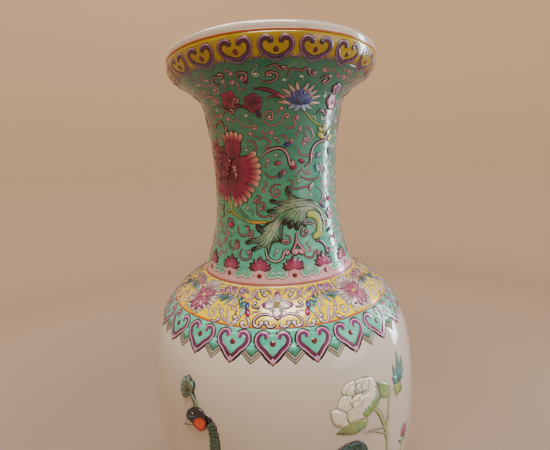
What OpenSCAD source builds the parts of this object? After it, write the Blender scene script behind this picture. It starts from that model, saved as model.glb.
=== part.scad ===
// Tall baluster vase with a dish mouth, in porcelain with painted enamel bands.
// It is thrown in six sections, luted together with slip, glazed, then enamelled.
// All sizes are in millimetres. +Z is up, and the foot stands on z = 0.

/* [Whole vase] */
// Height from the foot to the top of the lip
vase_h = 610; // [560:1:660]
// Thickness of the porcelain wall
wall_t = 7; // [5:0.5:10]
// Height of the slip ring in each luted joint
slip_h = 1.6; // [0.8:0.2:3]

/* [Foot] */
// Outer radius of the foot ring
foot_r = 90; // [80:0.5:100]
// Height of the straight outer wall of the foot ring
foot_h = 10; // [6:0.5:16]
// Width of the ring that the vase stands on
foot_ring_w = 9; // [6:0.5:14]
// Depth of the recess under the floor
recess_h = 9; // [5:0.5:12]
// Thickness of the floor
floor_t = 9; // [6:0.5:12]
// Rounding of the bare edges of the foot ring
foot_round = 1.5; // [0.5:0.25:2.5]
// Radius of the narrowest place above the foot
ankle_r = 86.5; // [78:0.5:95]
// Height of the narrowest place above the foot
ankle_z = 38; // [28:1:48]

/* [Body] */
// Largest radius of the body
belly_r = 146; // [135:0.5:155]
// Height of the largest radius
belly_z = 255; // [230:1:275]
// How far the lower wall runs straight up from the ankle before it swells
ankle_pull = 72; // [50:1:90]
// How far the curve stays full below the belly
belly_pull_low = 108; // [80:1:125]
// How far the curve stays full above the belly
belly_pull_high = 95; // [70:1:105]

/* [Shoulder and neck] */
// Radius where the shoulder meets the neck
neck_base_r = 83; // [76:0.5:90]
// Height where the shoulder meets the neck
neck_base_z = 393; // [380:1:400]
// Slope of the shoulder where it meets the neck
shoulder_slope = 28; // [20:1:40]
// How far the shoulder keeps that slope
shoulder_pull = 48; // [30:1:60]
// Radius of the waist of the neck
neck_r = 64.5; // [58:0.5:72]
// Height of the waist of the neck
neck_z = 488; // [470:1:500]

/* [Mouth] */
// Radius of the throat under the dish
throat_r = 71.5; // [66:0.5:78]
// Height of the throat
throat_z = 560; // [545:1:566]
// Radius of the lower corner of the dish
dish_r = 97; // [90:0.5:100]
// Height of the lower corner of the dish
dish_z = 587; // [580:0.5:590]
// Outer radius of the mouth
mouth_r = 105; // [100:0.5:112]
// Height where the dish wall becomes upright
wall_z = 600; // [596:0.5:603]

/* [Glaze and enamels] */
// Thickness of the clear glaze
glaze_t = 0.4; // [0.2:0.05:0.6]
// Thickness of the enamel on the glaze
enamel_t = 0.3; // [0.15:0.05:0.5]
// Height where the outer glaze stops above the bare foot edge
glaze_edge_z = 3.5; // [2:0.25:6]
// Width of the painted iron-red lines
line_h = 1.4; // [0.8:0.1:2.5]
// Height of the top of the line under the lip
lip_line_z = 603.4; // [600:0.2:606]
// Height where the yellow mouth band meets the neck ground
mouth_band_z = 586; // [582:0.5:592]
// Height where the pink band meets the neck ground
pink_top_z = 403; // [398:0.5:410]
// Height of the line under the shoulder band
shoulder_line_z = 370; // [364:0.5:376]
// Height of the solid part of the collar below that line
collar_low_z = 359; // [352:0.5:364]
// Height of the lower line of the foot border
foot_line_z = 14; // [12:0.5:20]
// Height of the top of the foot border
foot_band_z = 34; // [28:0.5:44]

/* [Hidden] */
$fn = 96;
curve_steps = 14;
lip_steps = 6;
fillet_steps = 5;
lip_r = wall_t / 2;
floor_z = recess_h + floor_t;
floor_fillet = 12;
recess_fillet = 3;
recess_r = foot_r - foot_ring_w;

// Heights of the five luted joints, each the middle of its slip ring
foot_joint_z = 72;
lower_joint_z = 165;
upper_joint_z = 285;
neck_joint_z = 397;
mouth_joint_z = 552;

// Directions of travel along the outline, going up from the foot
heel_angle = 115;
neck_base_angle = 117;
throat_angle = 80;
dish_angle = 31;

// How far the outline keeps each direction, before and after the point
heel_pull_after = 10;
ankle_pull_before = 11;
neck_base_pull_after = 19;
waist_pull_before = 48;
waist_pull_after = 30;
throat_pull_before = 20;
throat_pull_after = 12;
dish_pull_before = 12;
dish_pull_after = 6;
upright_pull_before = 6;

// Places on a path, counted in points: least gaps, and where the recess glaze starts
same_place = 0.001;
lip_gap = 0.01;
fillet_gap = 0.5;
recess_glaze_from = 0.3;

porcelain = [0.93, 0.92, 0.88];
slip = [0.86, 0.84, 0.78];
clear_glaze = [0.95, 0.95, 0.93];
yellow = [0.93, 0.77, 0.16];
turquoise = [0.22, 0.66, 0.56];
pink = [0.84, 0.62, 0.68];
iron_red = [0.74, 0.33, 0.13];

// Point at distance d from p in a direction of travel
function step_to(p, angle, d) = p + d * [cos(angle), sin(angle)];

// Smooth curve from a to b, pulled da and db along the two end directions
function bow(a, angle_a, da, b, angle_b, db) =
    let (p = step_to(a, angle_a, da), q = step_to(b, angle_b, -db))
    [for (i = [0:curve_steps - 1]) let (t = i / curve_steps, s = 1 - t)
        s * s * s * a + 3 * s * s * t * p + 3 * s * t * t * q + t * t * t * b];

// Arc about c from one angle to another
function arc(c, r, from, to, steps) =
    [for (i = [0:steps]) let (a = from + (to - from) * i / steps) c + r * [cos(a), sin(a)]];

function last(path) = len(path) - 1;
function reverse(path) = [for (i = [0:last(path)]) path[last(path) - i]];

// Unit direction of travel at point i of a path
function travel(path, i) =
    let (d = path[min(i + 1, last(path))] - path[max(i - 1, 0)]) d / norm(d);

// Path moved sideways by d, to the left of travel
function offset_path(path, d) =
    [for (i = [0:last(path)]) let (t = travel(path, i)) path[i] + d * [-t.y, t.x]];

// Point of a path at a place u, counted in points from its start
function at(path, u) =
    let (i = min(floor(u), last(path) - 1)) path[i] + (u - i) * (path[i + 1] - path[i]);

// Stretch of a path between two places
function stretch(path, from, to) =
    concat([at(path, from)],
        [for (i = [0:last(path)]) if (i > from + same_place && i < to - same_place) path[i]],
        [at(path, to)]);

// Place on a rising path where it reaches a height
function place(path, z) = lookup(z, [for (i = [0:last(path)]) [path[i].y, i]]);

heel = [foot_r, foot_h];
ankle = [ankle_r, ankle_z];
belly = [belly_r, belly_z];
neck_base = [neck_base_r, neck_base_z];
neck_waist = [neck_r, neck_z];
throat = [throat_r, throat_z];
dish = [dish_r, dish_z];
upright = [mouth_r, wall_z];
lip_start = [mouth_r, vase_h - lip_r];
lip_centre = [mouth_r - lip_r, vase_h - lip_r];

// Outline of the outside of the porcelain, from the foot to the start of the lip
wall_path = concat(
    [[foot_r, foot_round]],
    bow(heel, heel_angle, heel_pull_after, ankle, 90, ankle_pull_before),
    bow(ankle, 90, ankle_pull, belly, 90, belly_pull_low),
    bow(belly, 90, belly_pull_high, neck_base, 180 - shoulder_slope, shoulder_pull),
    bow(neck_base, neck_base_angle, neck_base_pull_after, neck_waist, 90, waist_pull_before),
    bow(neck_waist, 90, waist_pull_after, throat, throat_angle, throat_pull_before),
    bow(throat, throat_angle, throat_pull_after, dish, dish_angle, dish_pull_before),
    bow(dish, dish_angle, dish_pull_after, upright, 90, upright_pull_before),
    [upright, lip_start]);

// The same outline carried on to the crown of the lip
outside_path = concat(wall_path,
    [for (i = [1:lip_steps]) arc(lip_centre, lip_r, 0, 90, lip_steps)[i]]);

// Inside of the wall, point for point with the outside
inner_wall = offset_path(wall_path, wall_t);
lip_place = last(wall_path);
floor_place = place(inner_wall, floor_z + floor_fillet);
floor_corner = at(inner_wall, floor_place) - [floor_fillet, 0];

// Inside of the vase, from the crown of the lip down to the middle of the floor
inside_path = concat(
    arc(lip_centre, lip_r, 90, 180, lip_steps),
    [for (i = [1:lip_place]) if (lip_place - i > floor_place + fillet_gap) inner_wall[lip_place - i]],
    arc(floor_corner, floor_fillet, 0, -90, fillet_steps),
    [[0, floor_z]]);

// Recess under the floor, from inside the foot ring to the middle
recess_path = concat(
    [[recess_r, foot_round]],
    arc([recess_r - recess_fillet, recess_h - recess_fillet], recess_fillet, 0, 90, fillet_steps),
    [[0, recess_h]]);

glaze_path = offset_path(outside_path, -glaze_t);
enamel_path = offset_path(outside_path, -glaze_t - enamel_t);

// Ring of wall between two heights of the outside
module wall_ring(low, high) {
    from = place(wall_path, low);
    to = place(wall_path, high);
    rotate_extrude()
        polygon(concat(stretch(wall_path, from, to), reverse(stretch(inner_wall, from, to))));
}

// Ring of slip that fills a luted joint
module slip_ring(joint_z) {
    color(slip) wall_ring(joint_z - slip_h / 2, joint_z + slip_h / 2);
}

// Section of thrown wall between two joints
module thrown_section(low_joint, high_joint) {
    color(porcelain) wall_ring(low_joint + slip_h / 2, high_joint - slip_h / 2);
}

// Skin between two paths that match point for point
module skin(under, over, from, to) {
    rotate_extrude()
        polygon(concat(stretch(under, from, to), reverse(stretch(over, from, to))));
}

// Band of enamel on the outer glaze between two heights
module enamel(low, high) {
    skin(glaze_path, enamel_path, place(outside_path, low), place(outside_path, high));
}

// Foot ring, floor and the first rise of the wall
module foot_section() {
    top = place(wall_path, foot_joint_z - slip_h / 2);
    color(porcelain) rotate_extrude()
        polygon(concat(
            [[foot_r - foot_round, 0]],
            stretch(wall_path, 0, top),
            reverse(stretch(inner_wall, floor_place, top)),
            arc(floor_corner, floor_fillet, 0, -90, fillet_steps),
            [[0, floor_z]],
            reverse(recess_path),
            [[recess_r + foot_round, 0]]));
}

module lower_body_section() {
    thrown_section(foot_joint_z, lower_joint_z);
}

module belly_section() {
    thrown_section(lower_joint_z, upper_joint_z);
}

module shoulder_section() {
    thrown_section(upper_joint_z, neck_joint_z);
}

module neck_section() {
    thrown_section(neck_joint_z, mouth_joint_z);
}

// Dish mouth with its rounded lip
module mouth_section() {
    from = place(wall_path, mouth_joint_z + slip_h / 2);
    color(porcelain) rotate_extrude()
        polygon(concat(
            stretch(outside_path, from, last(outside_path)),
            [for (i = [1:lip_steps]) inside_path[i]],
            reverse(stretch(inner_wall, from, lip_place - lip_gap))));
}

module foot_slip() {
    slip_ring(foot_joint_z);
}

module lower_slip() {
    slip_ring(lower_joint_z);
}

module upper_slip() {
    slip_ring(upper_joint_z);
}

module neck_slip() {
    slip_ring(neck_joint_z);
}

module mouth_slip() {
    slip_ring(mouth_joint_z);
}

module outer_glaze() {
    color(clear_glaze)
        skin(outside_path, glaze_path, place(outside_path, glaze_edge_z), last(outside_path));
}

module inner_glaze() {
    color(clear_glaze)
        skin(inside_path, offset_path(inside_path, -glaze_t), 0, last(inside_path));
}

module base_glaze() {
    color(clear_glaze)
        skin(recess_path, offset_path(recess_path, glaze_t), recess_glaze_from, last(recess_path));
}

module lip_line() {
    color(iron_red) enamel(lip_line_z - line_h, lip_line_z);
}

module mouth_band() {
    color(yellow) enamel(mouth_band_z, lip_line_z - line_h);
}

module neck_ground() {
    color(turquoise) enamel(pink_top_z, mouth_band_z);
}

module pink_band() {
    color(pink) enamel(neck_base_z + line_h, pink_top_z);
}

module neck_line() {
    color(iron_red) enamel(neck_base_z, neck_base_z + line_h);
}

module shoulder_band() {
    color(yellow) enamel(shoulder_line_z, neck_base_z);
}

module shoulder_line() {
    color(iron_red) enamel(shoulder_line_z - line_h, shoulder_line_z);
}

module collar_band() {
    color(turquoise) enamel(collar_low_z, shoulder_line_z - line_h);
}

module foot_band() {
    color(turquoise) enamel(foot_line_z + line_h, foot_band_z);
}

module foot_line() {
    color(iron_red) enamel(foot_line_z, foot_line_z + line_h);
}

foot_section();
lower_body_section();
belly_section();
shoulder_section();
neck_section();
mouth_section();
foot_slip();
lower_slip();
upper_slip();
neck_slip();
mouth_slip();
outer_glaze();
inner_glaze();
base_glaze();
lip_line();
mouth_band();
neck_ground();
pink_band();
neck_line();
shoulder_band();
shoulder_line();
collar_band();
foot_band();
foot_line();
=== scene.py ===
import math
import random

import bpy
import numpy as np
from mathutils import Matrix, Vector
from mathutils.geometry import delaunay_2d_cdt


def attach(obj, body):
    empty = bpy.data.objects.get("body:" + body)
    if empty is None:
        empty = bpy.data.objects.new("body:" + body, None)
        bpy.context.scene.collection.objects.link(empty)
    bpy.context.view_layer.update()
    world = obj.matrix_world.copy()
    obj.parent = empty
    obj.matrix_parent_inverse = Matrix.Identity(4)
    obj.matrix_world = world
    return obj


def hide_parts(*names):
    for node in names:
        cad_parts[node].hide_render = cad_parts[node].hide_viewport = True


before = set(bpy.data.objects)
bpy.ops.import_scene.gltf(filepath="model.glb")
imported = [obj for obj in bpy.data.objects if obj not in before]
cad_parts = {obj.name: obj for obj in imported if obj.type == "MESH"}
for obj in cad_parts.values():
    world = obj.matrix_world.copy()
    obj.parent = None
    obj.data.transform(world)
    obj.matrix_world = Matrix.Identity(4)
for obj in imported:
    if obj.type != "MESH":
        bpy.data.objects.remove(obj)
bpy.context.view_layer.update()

MM = 0.001

# ---------------------------------------------------------------- outline of the vase

FOOT_R, FOOT_H, FOOT_ROUND, RECESS_H, FLOOR_T = 90.0, 10.0, 1.5, 9.0, 9.0
RECESS_R, FLOOR_FILLET, WALL_T, VASE_H = 81.0, 12.0, 7.0, 610.0
ANKLE, BELLY, NECK_BASE = (86.5, 38.0), (146.0, 255.0), (83.0, 393.0)
NECK_WAIST, THROAT, DISH, UPRIGHT = (64.5, 488.0), (71.5, 560.0), (97.0, 587.0), (105.0, 600.0)
LIP_R, GLAZE_T, GLAZE_EDGE_Z = 3.5, 0.4, 3.5
LIP_CENTRE = (UPRIGHT[0] - LIP_R, VASE_H - LIP_R)
STEP = 0.5
BOW_STEPS = 80


def bow(a, angle_a, da, b, angle_b, db):
    """Smooth curve from a to b, pulled da and db along the two end directions."""
    a, b = np.array(a), np.array(b)
    p = a + da * np.array([math.cos(math.radians(angle_a)), math.sin(math.radians(angle_a))])
    q = b - db * np.array([math.cos(math.radians(angle_b)), math.sin(math.radians(angle_b))])
    t = np.linspace(0, 1, BOW_STEPS, endpoint=False)[:, None]
    s = 1 - t
    return s**3 * a + 3 * s * s * t * p + 3 * s * t * t * q + t**3 * b


def arc(centre, radius, start, stop, steps=12):
    """Points on an arc between two angles in degrees."""
    a = np.radians(np.linspace(start, stop, steps))
    return np.array(centre) + radius * np.column_stack([np.cos(a), np.sin(a)])


def even(path, step):
    """The same path with points at even steps."""
    d = np.concatenate([[0], np.cumsum(np.linalg.norm(np.diff(path, axis=0), axis=1))])
    n = max(2, int(round(d[-1] / step)) + 1)
    at = np.linspace(0, d[-1], n)
    return np.column_stack([np.interp(at, d, path[:, k]) for k in range(path.shape[1])])


def left_of(path):
    """Unit vectors to the left of travel at every point of a path."""
    t = np.gradient(path, axis=0)
    t /= np.linalg.norm(t, axis=1)[:, None]
    return np.column_stack([-t[:, 1], t[:, 0]])


wall = np.vstack([
    [[FOOT_R, FOOT_ROUND]],
    bow((FOOT_R, FOOT_H), 115, 10, ANKLE, 90, 11),
    bow(ANKLE, 90, 72, BELLY, 90, 108),
    bow(BELLY, 90, 95, NECK_BASE, 152, 48),
    bow(NECK_BASE, 117, 19, NECK_WAIST, 90, 48),
    bow(NECK_WAIST, 90, 30, THROAT, 80, 20),
    bow(THROAT, 80, 12, DISH, 31, 12),
    bow(DISH, 31, 6, UPRIGHT, 90, 6),
    [UPRIGHT, (UPRIGHT[0], LIP_CENTRE[1])],
])
wall = even(wall, STEP)
inner = wall + WALL_T * left_of(wall)
out = even(np.vstack([wall, arc(LIP_CENTRE, LIP_R, 8, 90)]), STEP)
out_n = -left_of(out)
out_s = np.concatenate([[0], np.cumsum(np.linalg.norm(np.diff(out, axis=0), axis=1))])
glaze_r, glaze_z = out[:, 0] + GLAZE_T * out_n[:, 0], out[:, 1] + GLAZE_T * out_n[:, 1]


def s_at(z):
    """Distance along the outline, from the foot, where it reaches a height."""
    return float(np.interp(z, out[:, 1], out_s))


def r_at(s):
    """Radius of the glaze at s along the outline."""
    return np.interp(s, out_s, glaze_r)


def off_glaze(s, h):
    """Radius and height of a point at s along the outline and h above the glaze."""
    r = r_at(s) + h * np.interp(s, out_s, out_n[:, 0])
    z = np.interp(s, out_s, glaze_z) + h * np.interp(s, out_s, out_n[:, 1])
    return r, z


def on_vase(theta, s, h):
    """Points in metres: theta from the front, s along the outline, h above the glaze."""
    r, z = off_glaze(s, h)
    return np.column_stack([r * np.sin(theta), -r * np.cos(theta), z]) * MM


# ---------------------------------------------------------------- meshes


def lin(*rgb):
    """Linear colour from 0-255 screen values."""
    c = np.array(rgb, float) / 255
    return np.where(c <= 0.04045, c / 12.92, ((c + 0.055) / 1.055) ** 2.4)


def mesh_object(name, co, faces, material, colours=None):
    """A mesh from arrays; faces is a list of arrays, each of faces with the same corner count."""
    me = bpy.data.meshes.new(name)
    faces = [f for f in faces if len(f)]
    loops = np.concatenate([f.ravel() for f in faces]).astype(np.int32)
    sizes = np.concatenate([np.full(len(f), f.shape[1]) for f in faces]).astype(np.int32)
    starts = np.concatenate([[0], np.cumsum(sizes)[:-1]]).astype(np.int32)
    me.vertices.add(len(co))
    me.vertices.foreach_set("co", np.ascontiguousarray(co, np.float32).ravel())
    me.loops.add(len(loops))
    me.loops.foreach_set("vertex_index", loops)
    me.polygons.add(len(sizes))
    me.polygons.foreach_set("loop_start", starts)
    me.update(calc_edges=True)
    me.validate()
    if colours is not None:
        layer = me.color_attributes.new("paint", "FLOAT_COLOR", "POINT")
        rgba = np.column_stack([colours, np.ones(len(colours))]).astype(np.float32)
        layer.data.foreach_set("color", rgba.ravel())
    me.polygons.foreach_set("use_smooth", [True] * len(me.polygons))
    ob = bpy.data.objects.new(name, me)
    bpy.context.scene.collection.objects.link(ob)
    me.materials.append(material)
    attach(ob, "root")
    return ob


AROUND = 192


def revolve(name, profile, material):
    """A turned piece from a closed run of (r, z) points in mm."""
    prof = np.array(profile, float)
    theta = np.linspace(0, 2 * math.pi, AROUND, endpoint=False)
    axis = prof[:, 0] < 1e-6
    start, co = [], []
    for (r, z), on_axis in zip(prof, axis):
        start.append(len(co))
        if on_axis:
            co.append([0, 0, z])
        else:
            co.extend(np.column_stack([r * np.sin(theta), -r * np.cos(theta), np.full(AROUND, z)]))
    quads, tris = [], []
    k = np.arange(AROUND)
    k1 = (k + 1) % AROUND
    for i in range(len(prof)):
        j = (i + 1) % len(prof)
        if axis[i] and axis[j]:
            continue
        if axis[i]:
            tris.append(np.column_stack([np.full(AROUND, start[i]), start[j] + k1, start[j] + k]))
        elif axis[j]:
            tris.append(np.column_stack([start[i] + k, start[i] + k1, np.full(AROUND, start[j])]))
        else:
            quads.append(np.column_stack([start[i] + k, start[i] + k1, start[j] + k1, start[j] + k]))
    faces = [np.concatenate(f) for f in (quads, tris) if f]
    return mesh_object(name, np.array(co) * MM, faces, material)


# ---------------------------------------------------------------- materials


class Nodes:
    """A material's node tree, with short calls to add and join nodes."""

    def __init__(self, name):
        self.material = bpy.data.materials.new(name)
        self.material.use_nodes = True
        self.tree = self.material.node_tree
        self.bsdf = self.tree.nodes["Principled BSDF"]
        self.place = self.add("ShaderNodeTexCoord").outputs["Object"]

    def add(self, kind, **settings):
        node = self.tree.nodes.new(kind)
        for key, value in settings.items():
            if hasattr(node, key):
                setattr(node, key, value)
            else:
                node.inputs[key.replace("_", " ")].default_value = value
        return node

    def join(self, a, b):
        self.tree.links.new(a, b)

    def noise(self, scale, detail=3.0, rough=0.55, stretch=None):
        """Noise in the piece's own metres; stretch squeezes it along the three axes."""
        node = self.add("ShaderNodeTexNoise", Scale=scale, Detail=detail, Roughness=rough)
        at = self.place
        if stretch:
            mapping = self.add("ShaderNodeMapping", Scale=stretch)
            self.join(at, mapping.inputs["Vector"])
            at = mapping.outputs["Vector"]
        self.join(at, node.inputs["Vector"])
        return node.outputs["Fac"]

    def between(self, fac, low, high, a, b):
        """fac from low to high becomes a to b."""
        node = self.add("ShaderNodeMapRange")
        self.join(fac, node.inputs["Value"])
        for key, value in zip(("From Min", "From Max", "To Min", "To Max"), (low, high, a, b)):
            node.inputs[key].default_value = value
        return node.outputs["Result"]

    def mix(self, fac, a, b, blend="MIX"):
        node = self.add("ShaderNodeMix", data_type="RGBA", blend_type=blend)
        for key, value in ((0, fac), (6, a), (7, b)):
            if isinstance(value, bpy.types.NodeSocket):
                self.join(value, node.inputs[key])
            elif key == 0:
                node.inputs[key].default_value = value
            else:
                node.inputs[key].default_value = (*value, 1.0)
        return node.outputs[2]

    def bump(self, height, strength, distance):
        node = self.add("ShaderNodeBump", Strength=strength, Distance=distance)
        self.join(height, node.inputs["Height"])
        self.join(node.outputs["Normal"], self.bsdf.inputs["Normal"])


def set_gloss(n, rough_low, rough_high, coat, coat_rough=0.05):
    """Roughness that wanders between two values, under a clear coat."""
    n.join(n.between(n.noise(120.0), 0.3, 0.7, rough_low, rough_high), n.bsdf.inputs["Roughness"])
    n.bsdf.inputs["Coat Weight"].default_value = coat
    n.bsdf.inputs["Coat Roughness"].default_value = coat_rough
    n.bsdf.inputs["IOR"].default_value = 1.5


def porcelain_glaze(name, colour, cloudy):
    """White porcelain under clear glaze: cloudy tone, faint ripple, a few iron specks."""
    n = Nodes(name)
    cloud = n.between(n.noise(9.0, 4.0), 0.35, 0.65, 0.0, 1.0)
    base = n.mix(cloud, colour, cloudy)
    cells = n.add("ShaderNodeTexVoronoi", Scale=85.0, Randomness=1.0)
    n.join(n.place, cells.inputs["Vector"])
    speck = n.between(cells.outputs["Distance"], 0.028, 0.05, 1.0, 0.0)
    rare = n.between(n.noise(30.0, 2.0), 0.62, 0.66, 0.0, 0.55)
    both = n.add("ShaderNodeMath", operation="MULTIPLY")
    n.join(speck, both.inputs[0])
    n.join(rare, both.inputs[1])
    base = n.mix(both.outputs[0], base, lin(150, 120, 95))
    n.join(base, n.bsdf.inputs["Base Color"])
    set_gloss(n, 0.1, 0.16, 0.6)
    n.bump(n.noise(28.0, 2.0), 0.12, 0.0006)
    return n.material


def enamel(name):
    """Painted enamel: the paint colours of the mesh, laid on unevenly by the brush."""
    n = Nodes(name)
    vary = 0.16
    paint = n.add("ShaderNodeVertexColor", layer_name="paint").outputs["Color"]
    patch = n.between(n.noise(150.0, 4.0, 0.6), 0.3, 0.7, 1.0 - vary, 1.0 + vary)
    wide = n.between(n.noise(35.0, 2.0), 0.3, 0.7, 1.0 - 0.6 * vary, 1.0 + 0.6 * vary)
    both = n.add("ShaderNodeMath", operation="MULTIPLY")
    n.join(patch, both.inputs[0])
    n.join(wide, both.inputs[1])
    grey = n.add("ShaderNodeCombineColor")
    for k in range(3):
        n.join(both.outputs[0], grey.inputs[k])
    n.join(n.mix(1.0, paint, grey.outputs[0], "MULTIPLY"), n.bsdf.inputs["Base Color"])
    set_gloss(n, 0.16, 0.28, 0.45)
    n.bump(n.noise(420.0, 3.0), 0.25, 0.0001)
    return n.material


def ground(name, colour, deep, pale, dish_shade=None):
    """A ground of enamel brushed round the vase: streaks, pooled deep spots, pale thin spots.
    dish_shade = (low, high, colour): painted shade that darkens the ground from low up to high, where the
    dish of the mouth shades the neck."""
    n = Nodes(name)
    streak = n.between(n.noise(45.0, 5.0, 0.62, (1, 1, 3)), 0.35, 0.68, 0.0, 1.0)
    base = n.mix(streak, colour, deep)
    thin = n.between(n.noise(130.0, 4.0, 0.65), 0.55, 0.78, 0.0, 0.75)
    base = n.mix(thin, base, pale)
    pool = n.between(n.noise(310.0, 3.0), 0.62, 0.74, 0.0, 0.5)
    base = n.mix(pool, base, deep)
    if dish_shade:
        low, high, dark = dish_shade
        place = n.add("ShaderNodeSeparateXYZ")
        n.join(n.place, place.inputs[0])
        base = n.mix(n.between(place.outputs["Z"], low, high, 0.0, 0.8), base, dark)
    n.join(base, n.bsdf.inputs["Base Color"])
    set_gloss(n, 0.15, 0.27, 0.5)
    n.bump(n.noise(260.0, 4.0), 0.3, 0.00012)
    return n.material


def ink(name, colour):
    """Fired line colour of one shade, slightly dry and raised."""
    n = Nodes(name)
    n.bsdf.inputs["Base Color"].default_value = (*colour, 1.0)
    set_gloss(n, 0.28, 0.42, 0.25, 0.12)
    n.bump(n.noise(700.0, 3.0), 0.3, 0.00008)
    return n.material


def biscuit(name):
    """Bare fired clay of the foot edge: dry, fine sandy grain, toned by handling."""
    n = Nodes(name)
    grain = n.between(n.noise(900.0, 5.0, 0.7), 0.3, 0.7, 0.0, 1.0)
    base = n.mix(grain, lin(206, 190, 163), lin(178, 160, 133))
    dirt = n.between(n.noise(60.0, 4.0, 0.65), 0.52, 0.72, 0.0, 0.6)
    n.join(n.mix(dirt, base, lin(134, 112, 86)), n.bsdf.inputs["Base Color"])
    n.join(n.between(n.noise(300.0), 0.3, 0.7, 0.7, 0.9), n.bsdf.inputs["Roughness"])
    n.bump(n.noise(1200.0, 5.0, 0.7), 0.6, 0.0003)
    return n.material


WHITE_GLAZE = porcelain_glaze("white_glaze", lin(213, 208, 199), lin(205, 200, 191))
INNER_GLAZE = porcelain_glaze("inner_white_glaze", lin(210, 205, 194), lin(200, 195, 184))
BISCUIT = biscuit("bare_biscuit")
# The neck's turquoise darkens towards its top: painted shade under the dish of the mouth.
TURQUOISE = ground("turquoise_ground", lin(92, 206, 186), lin(52, 174, 150), lin(144, 224, 206),
                   dish_shade=(0.45, 0.56, lin(32, 92, 78)))
# The mouth's yellow is the shoulder's yellow made darker: painted shade under the lip.
SHADED_MOUTH_YELLOW = ground("yellow_mouth", lin(184, 162, 16), lin(158, 134, 12), lin(200, 184, 48))
YELLOW = ground("yellow_ground", lin(255, 224, 6), lin(246, 206, 0), lin(255, 236, 76))
PINK = ground("pink_ground", lin(234, 184, 194), lin(220, 160, 176), lin(242, 206, 212))
IRON = ink("iron_red_line", lin(178, 84, 34))
ENAMEL = enamel("painted_enamel")
INK = ink("outline_ink", lin(48, 26, 34))
GREEN_INK = ink("green_black_ink", lin(26, 46, 34))
BROWN_INK = ink("red_brown_ink", lin(66, 28, 34))
GREY_INK = ink("grey_green_ink", lin(112, 118, 96))


# ---------------------------------------------------------------- body, glazes and grounds


def skin(name, low, high, under, over, material, node, step=2.0):
    """A closed coat on the glaze between two places s, from under to over mm above it."""
    s = np.linspace(low, high, max(2, int(round((high - low) / step)) + 1))
    upper = np.column_stack(off_glaze(s, over))
    lower = np.column_stack(off_glaze(s, under))
    ob = revolve(name, np.vstack([upper, lower[::-1]]), material)
    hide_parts(node)


skin("white_outer_glaze", s_at(GLAZE_EDGE_Z), float(out_s[-1]), -GLAZE_T, 0.0, WHITE_GLAZE,
     "outer_glaze")

INNER_STEP = 2.8
floor_z = RECESS_H + FLOOR_T
start = int(np.argmax(inner[:, 1] > floor_z + FLOOR_FILLET))
corner = inner[start] - np.array([FLOOR_FILLET, 0])
inside = np.vstack([arc(LIP_CENTRE, LIP_R, 90, 172), inner[:start:-1],
                    arc(corner, FLOOR_FILLET, 0, -90, 10), [[0, floor_z]]])
inside = even(inside, INNER_STEP)
inside_in = inside - GLAZE_T * left_of(inside)
inside_in[-1, 0] = inside[-1, 0] = 0
inside_in[0] = out[-1] + [0, GLAZE_T]
ob = revolve("white_inner_glaze", np.vstack([inside_in, inside[::-1]]), INNER_GLAZE)
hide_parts("inner_glaze")

RECESS_FILLET, FOOT_RING_H = 3.0, 30.0
fillet_centre = (RECESS_R - RECESS_FILLET, RECESS_H - RECESS_FILLET)
recess = np.vstack([[[RECESS_R, FOOT_ROUND]], arc(fillet_centre, RECESS_FILLET, 0, 90, 8), [[0, RECESS_H]]])
base_face = recess + GLAZE_T * left_of(recess)
base_face[-1, 0] = 0
ob = revolve("white_base_glaze", np.vstack([base_face[::-1], recess])[::-1], WHITE_GLAZE)
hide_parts("base_glaze")

ring_top = int(np.argmax(wall[:, 1] > FOOT_RING_H))
foot = np.vstack([arc((FOOT_R - FOOT_ROUND, FOOT_ROUND), FOOT_ROUND, -90, 0, 8), wall[1:ring_top:6],
                  inner[ring_top:start:-2], arc(corner, FLOOR_FILLET, 0, -90, 8), [[0, floor_z]],
                  recess[::-1], arc((RECESS_R + FOOT_ROUND, FOOT_ROUND), FOOT_ROUND, 180, 270, 8)])
ob = revolve("bare_foot_ring", foot, BISCUIT)
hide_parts("foot_section")

S_LIP, S_MOUTH, S_NECK, S_SHOULDER, S_FOOT = (
    s_at(603.4), s_at(586.0), s_at(393.0), s_at(370.0), s_at(14.0))
LINE, LINE_T, LINE_STEP = 1.4, 0.16, 0.35
GROUND_T, BORDER_T, PINK_H = 0.06, 0.05, 12.0
YELLOW_TOP = S_NECK + 0.2

for place, low, high in (("lip", S_LIP - LINE, S_LIP),
                         ("neck", YELLOW_TOP, YELLOW_TOP + LINE),
                         ("shoulder", S_SHOULDER - LINE, S_SHOULDER),
                         ("foot", S_FOOT, S_FOOT + LINE)):
    skin(f"red_{place}_line", low, high, 0.0, LINE_T, IRON, f"{place}_line", LINE_STEP)
for name, low, high, material, slot, node in (
        ("yellow_mouth_ground", S_MOUTH, S_LIP - LINE, SHADED_MOUTH_YELLOW, "yellow_enamel", "mouth_band"),
        ("turquoise_neck_ground", S_NECK + PINK_H, S_MOUTH, TURQUOISE, "turquoise_enamel", "neck_ground"),
        ("pink_neck_foot", YELLOW_TOP + LINE, S_NECK + PINK_H, PINK, "pink_enamel", "pink_band"),
        ("yellow_shoulder_ground", S_SHOULDER, YELLOW_TOP, YELLOW, "yellow_enamel", "shoulder_band")):
    skin(name, low, high, 0.0, GROUND_T, material, node)


# ---------------------------------------------------------------- painting tools


def smooth(points, closed=False, step=0.7):
    """Even points on a smooth curve through the given ones."""
    p = np.array(points, float)
    if closed:
        p = np.vstack([p[-1], p, p[0], p[1]])
    else:
        p = np.vstack([2 * p[0] - p[1], p, 2 * p[-1] - p[-2]])
    t = np.linspace(0, 1, 9)[:-1, None]
    parts = []
    for a, b, c, d in zip(p, p[1:], p[2:], p[3:]):
        parts.append(0.5 * (2 * b + (c - a) * t + (2 * a - 5 * b + 4 * c - d) * t * t
                            + (3 * b - a - 3 * c + d) * t**3))
    path = np.vstack(parts + [p[-2:-1]])
    path = even(path, step)
    return path[:-1] if closed else path


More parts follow.
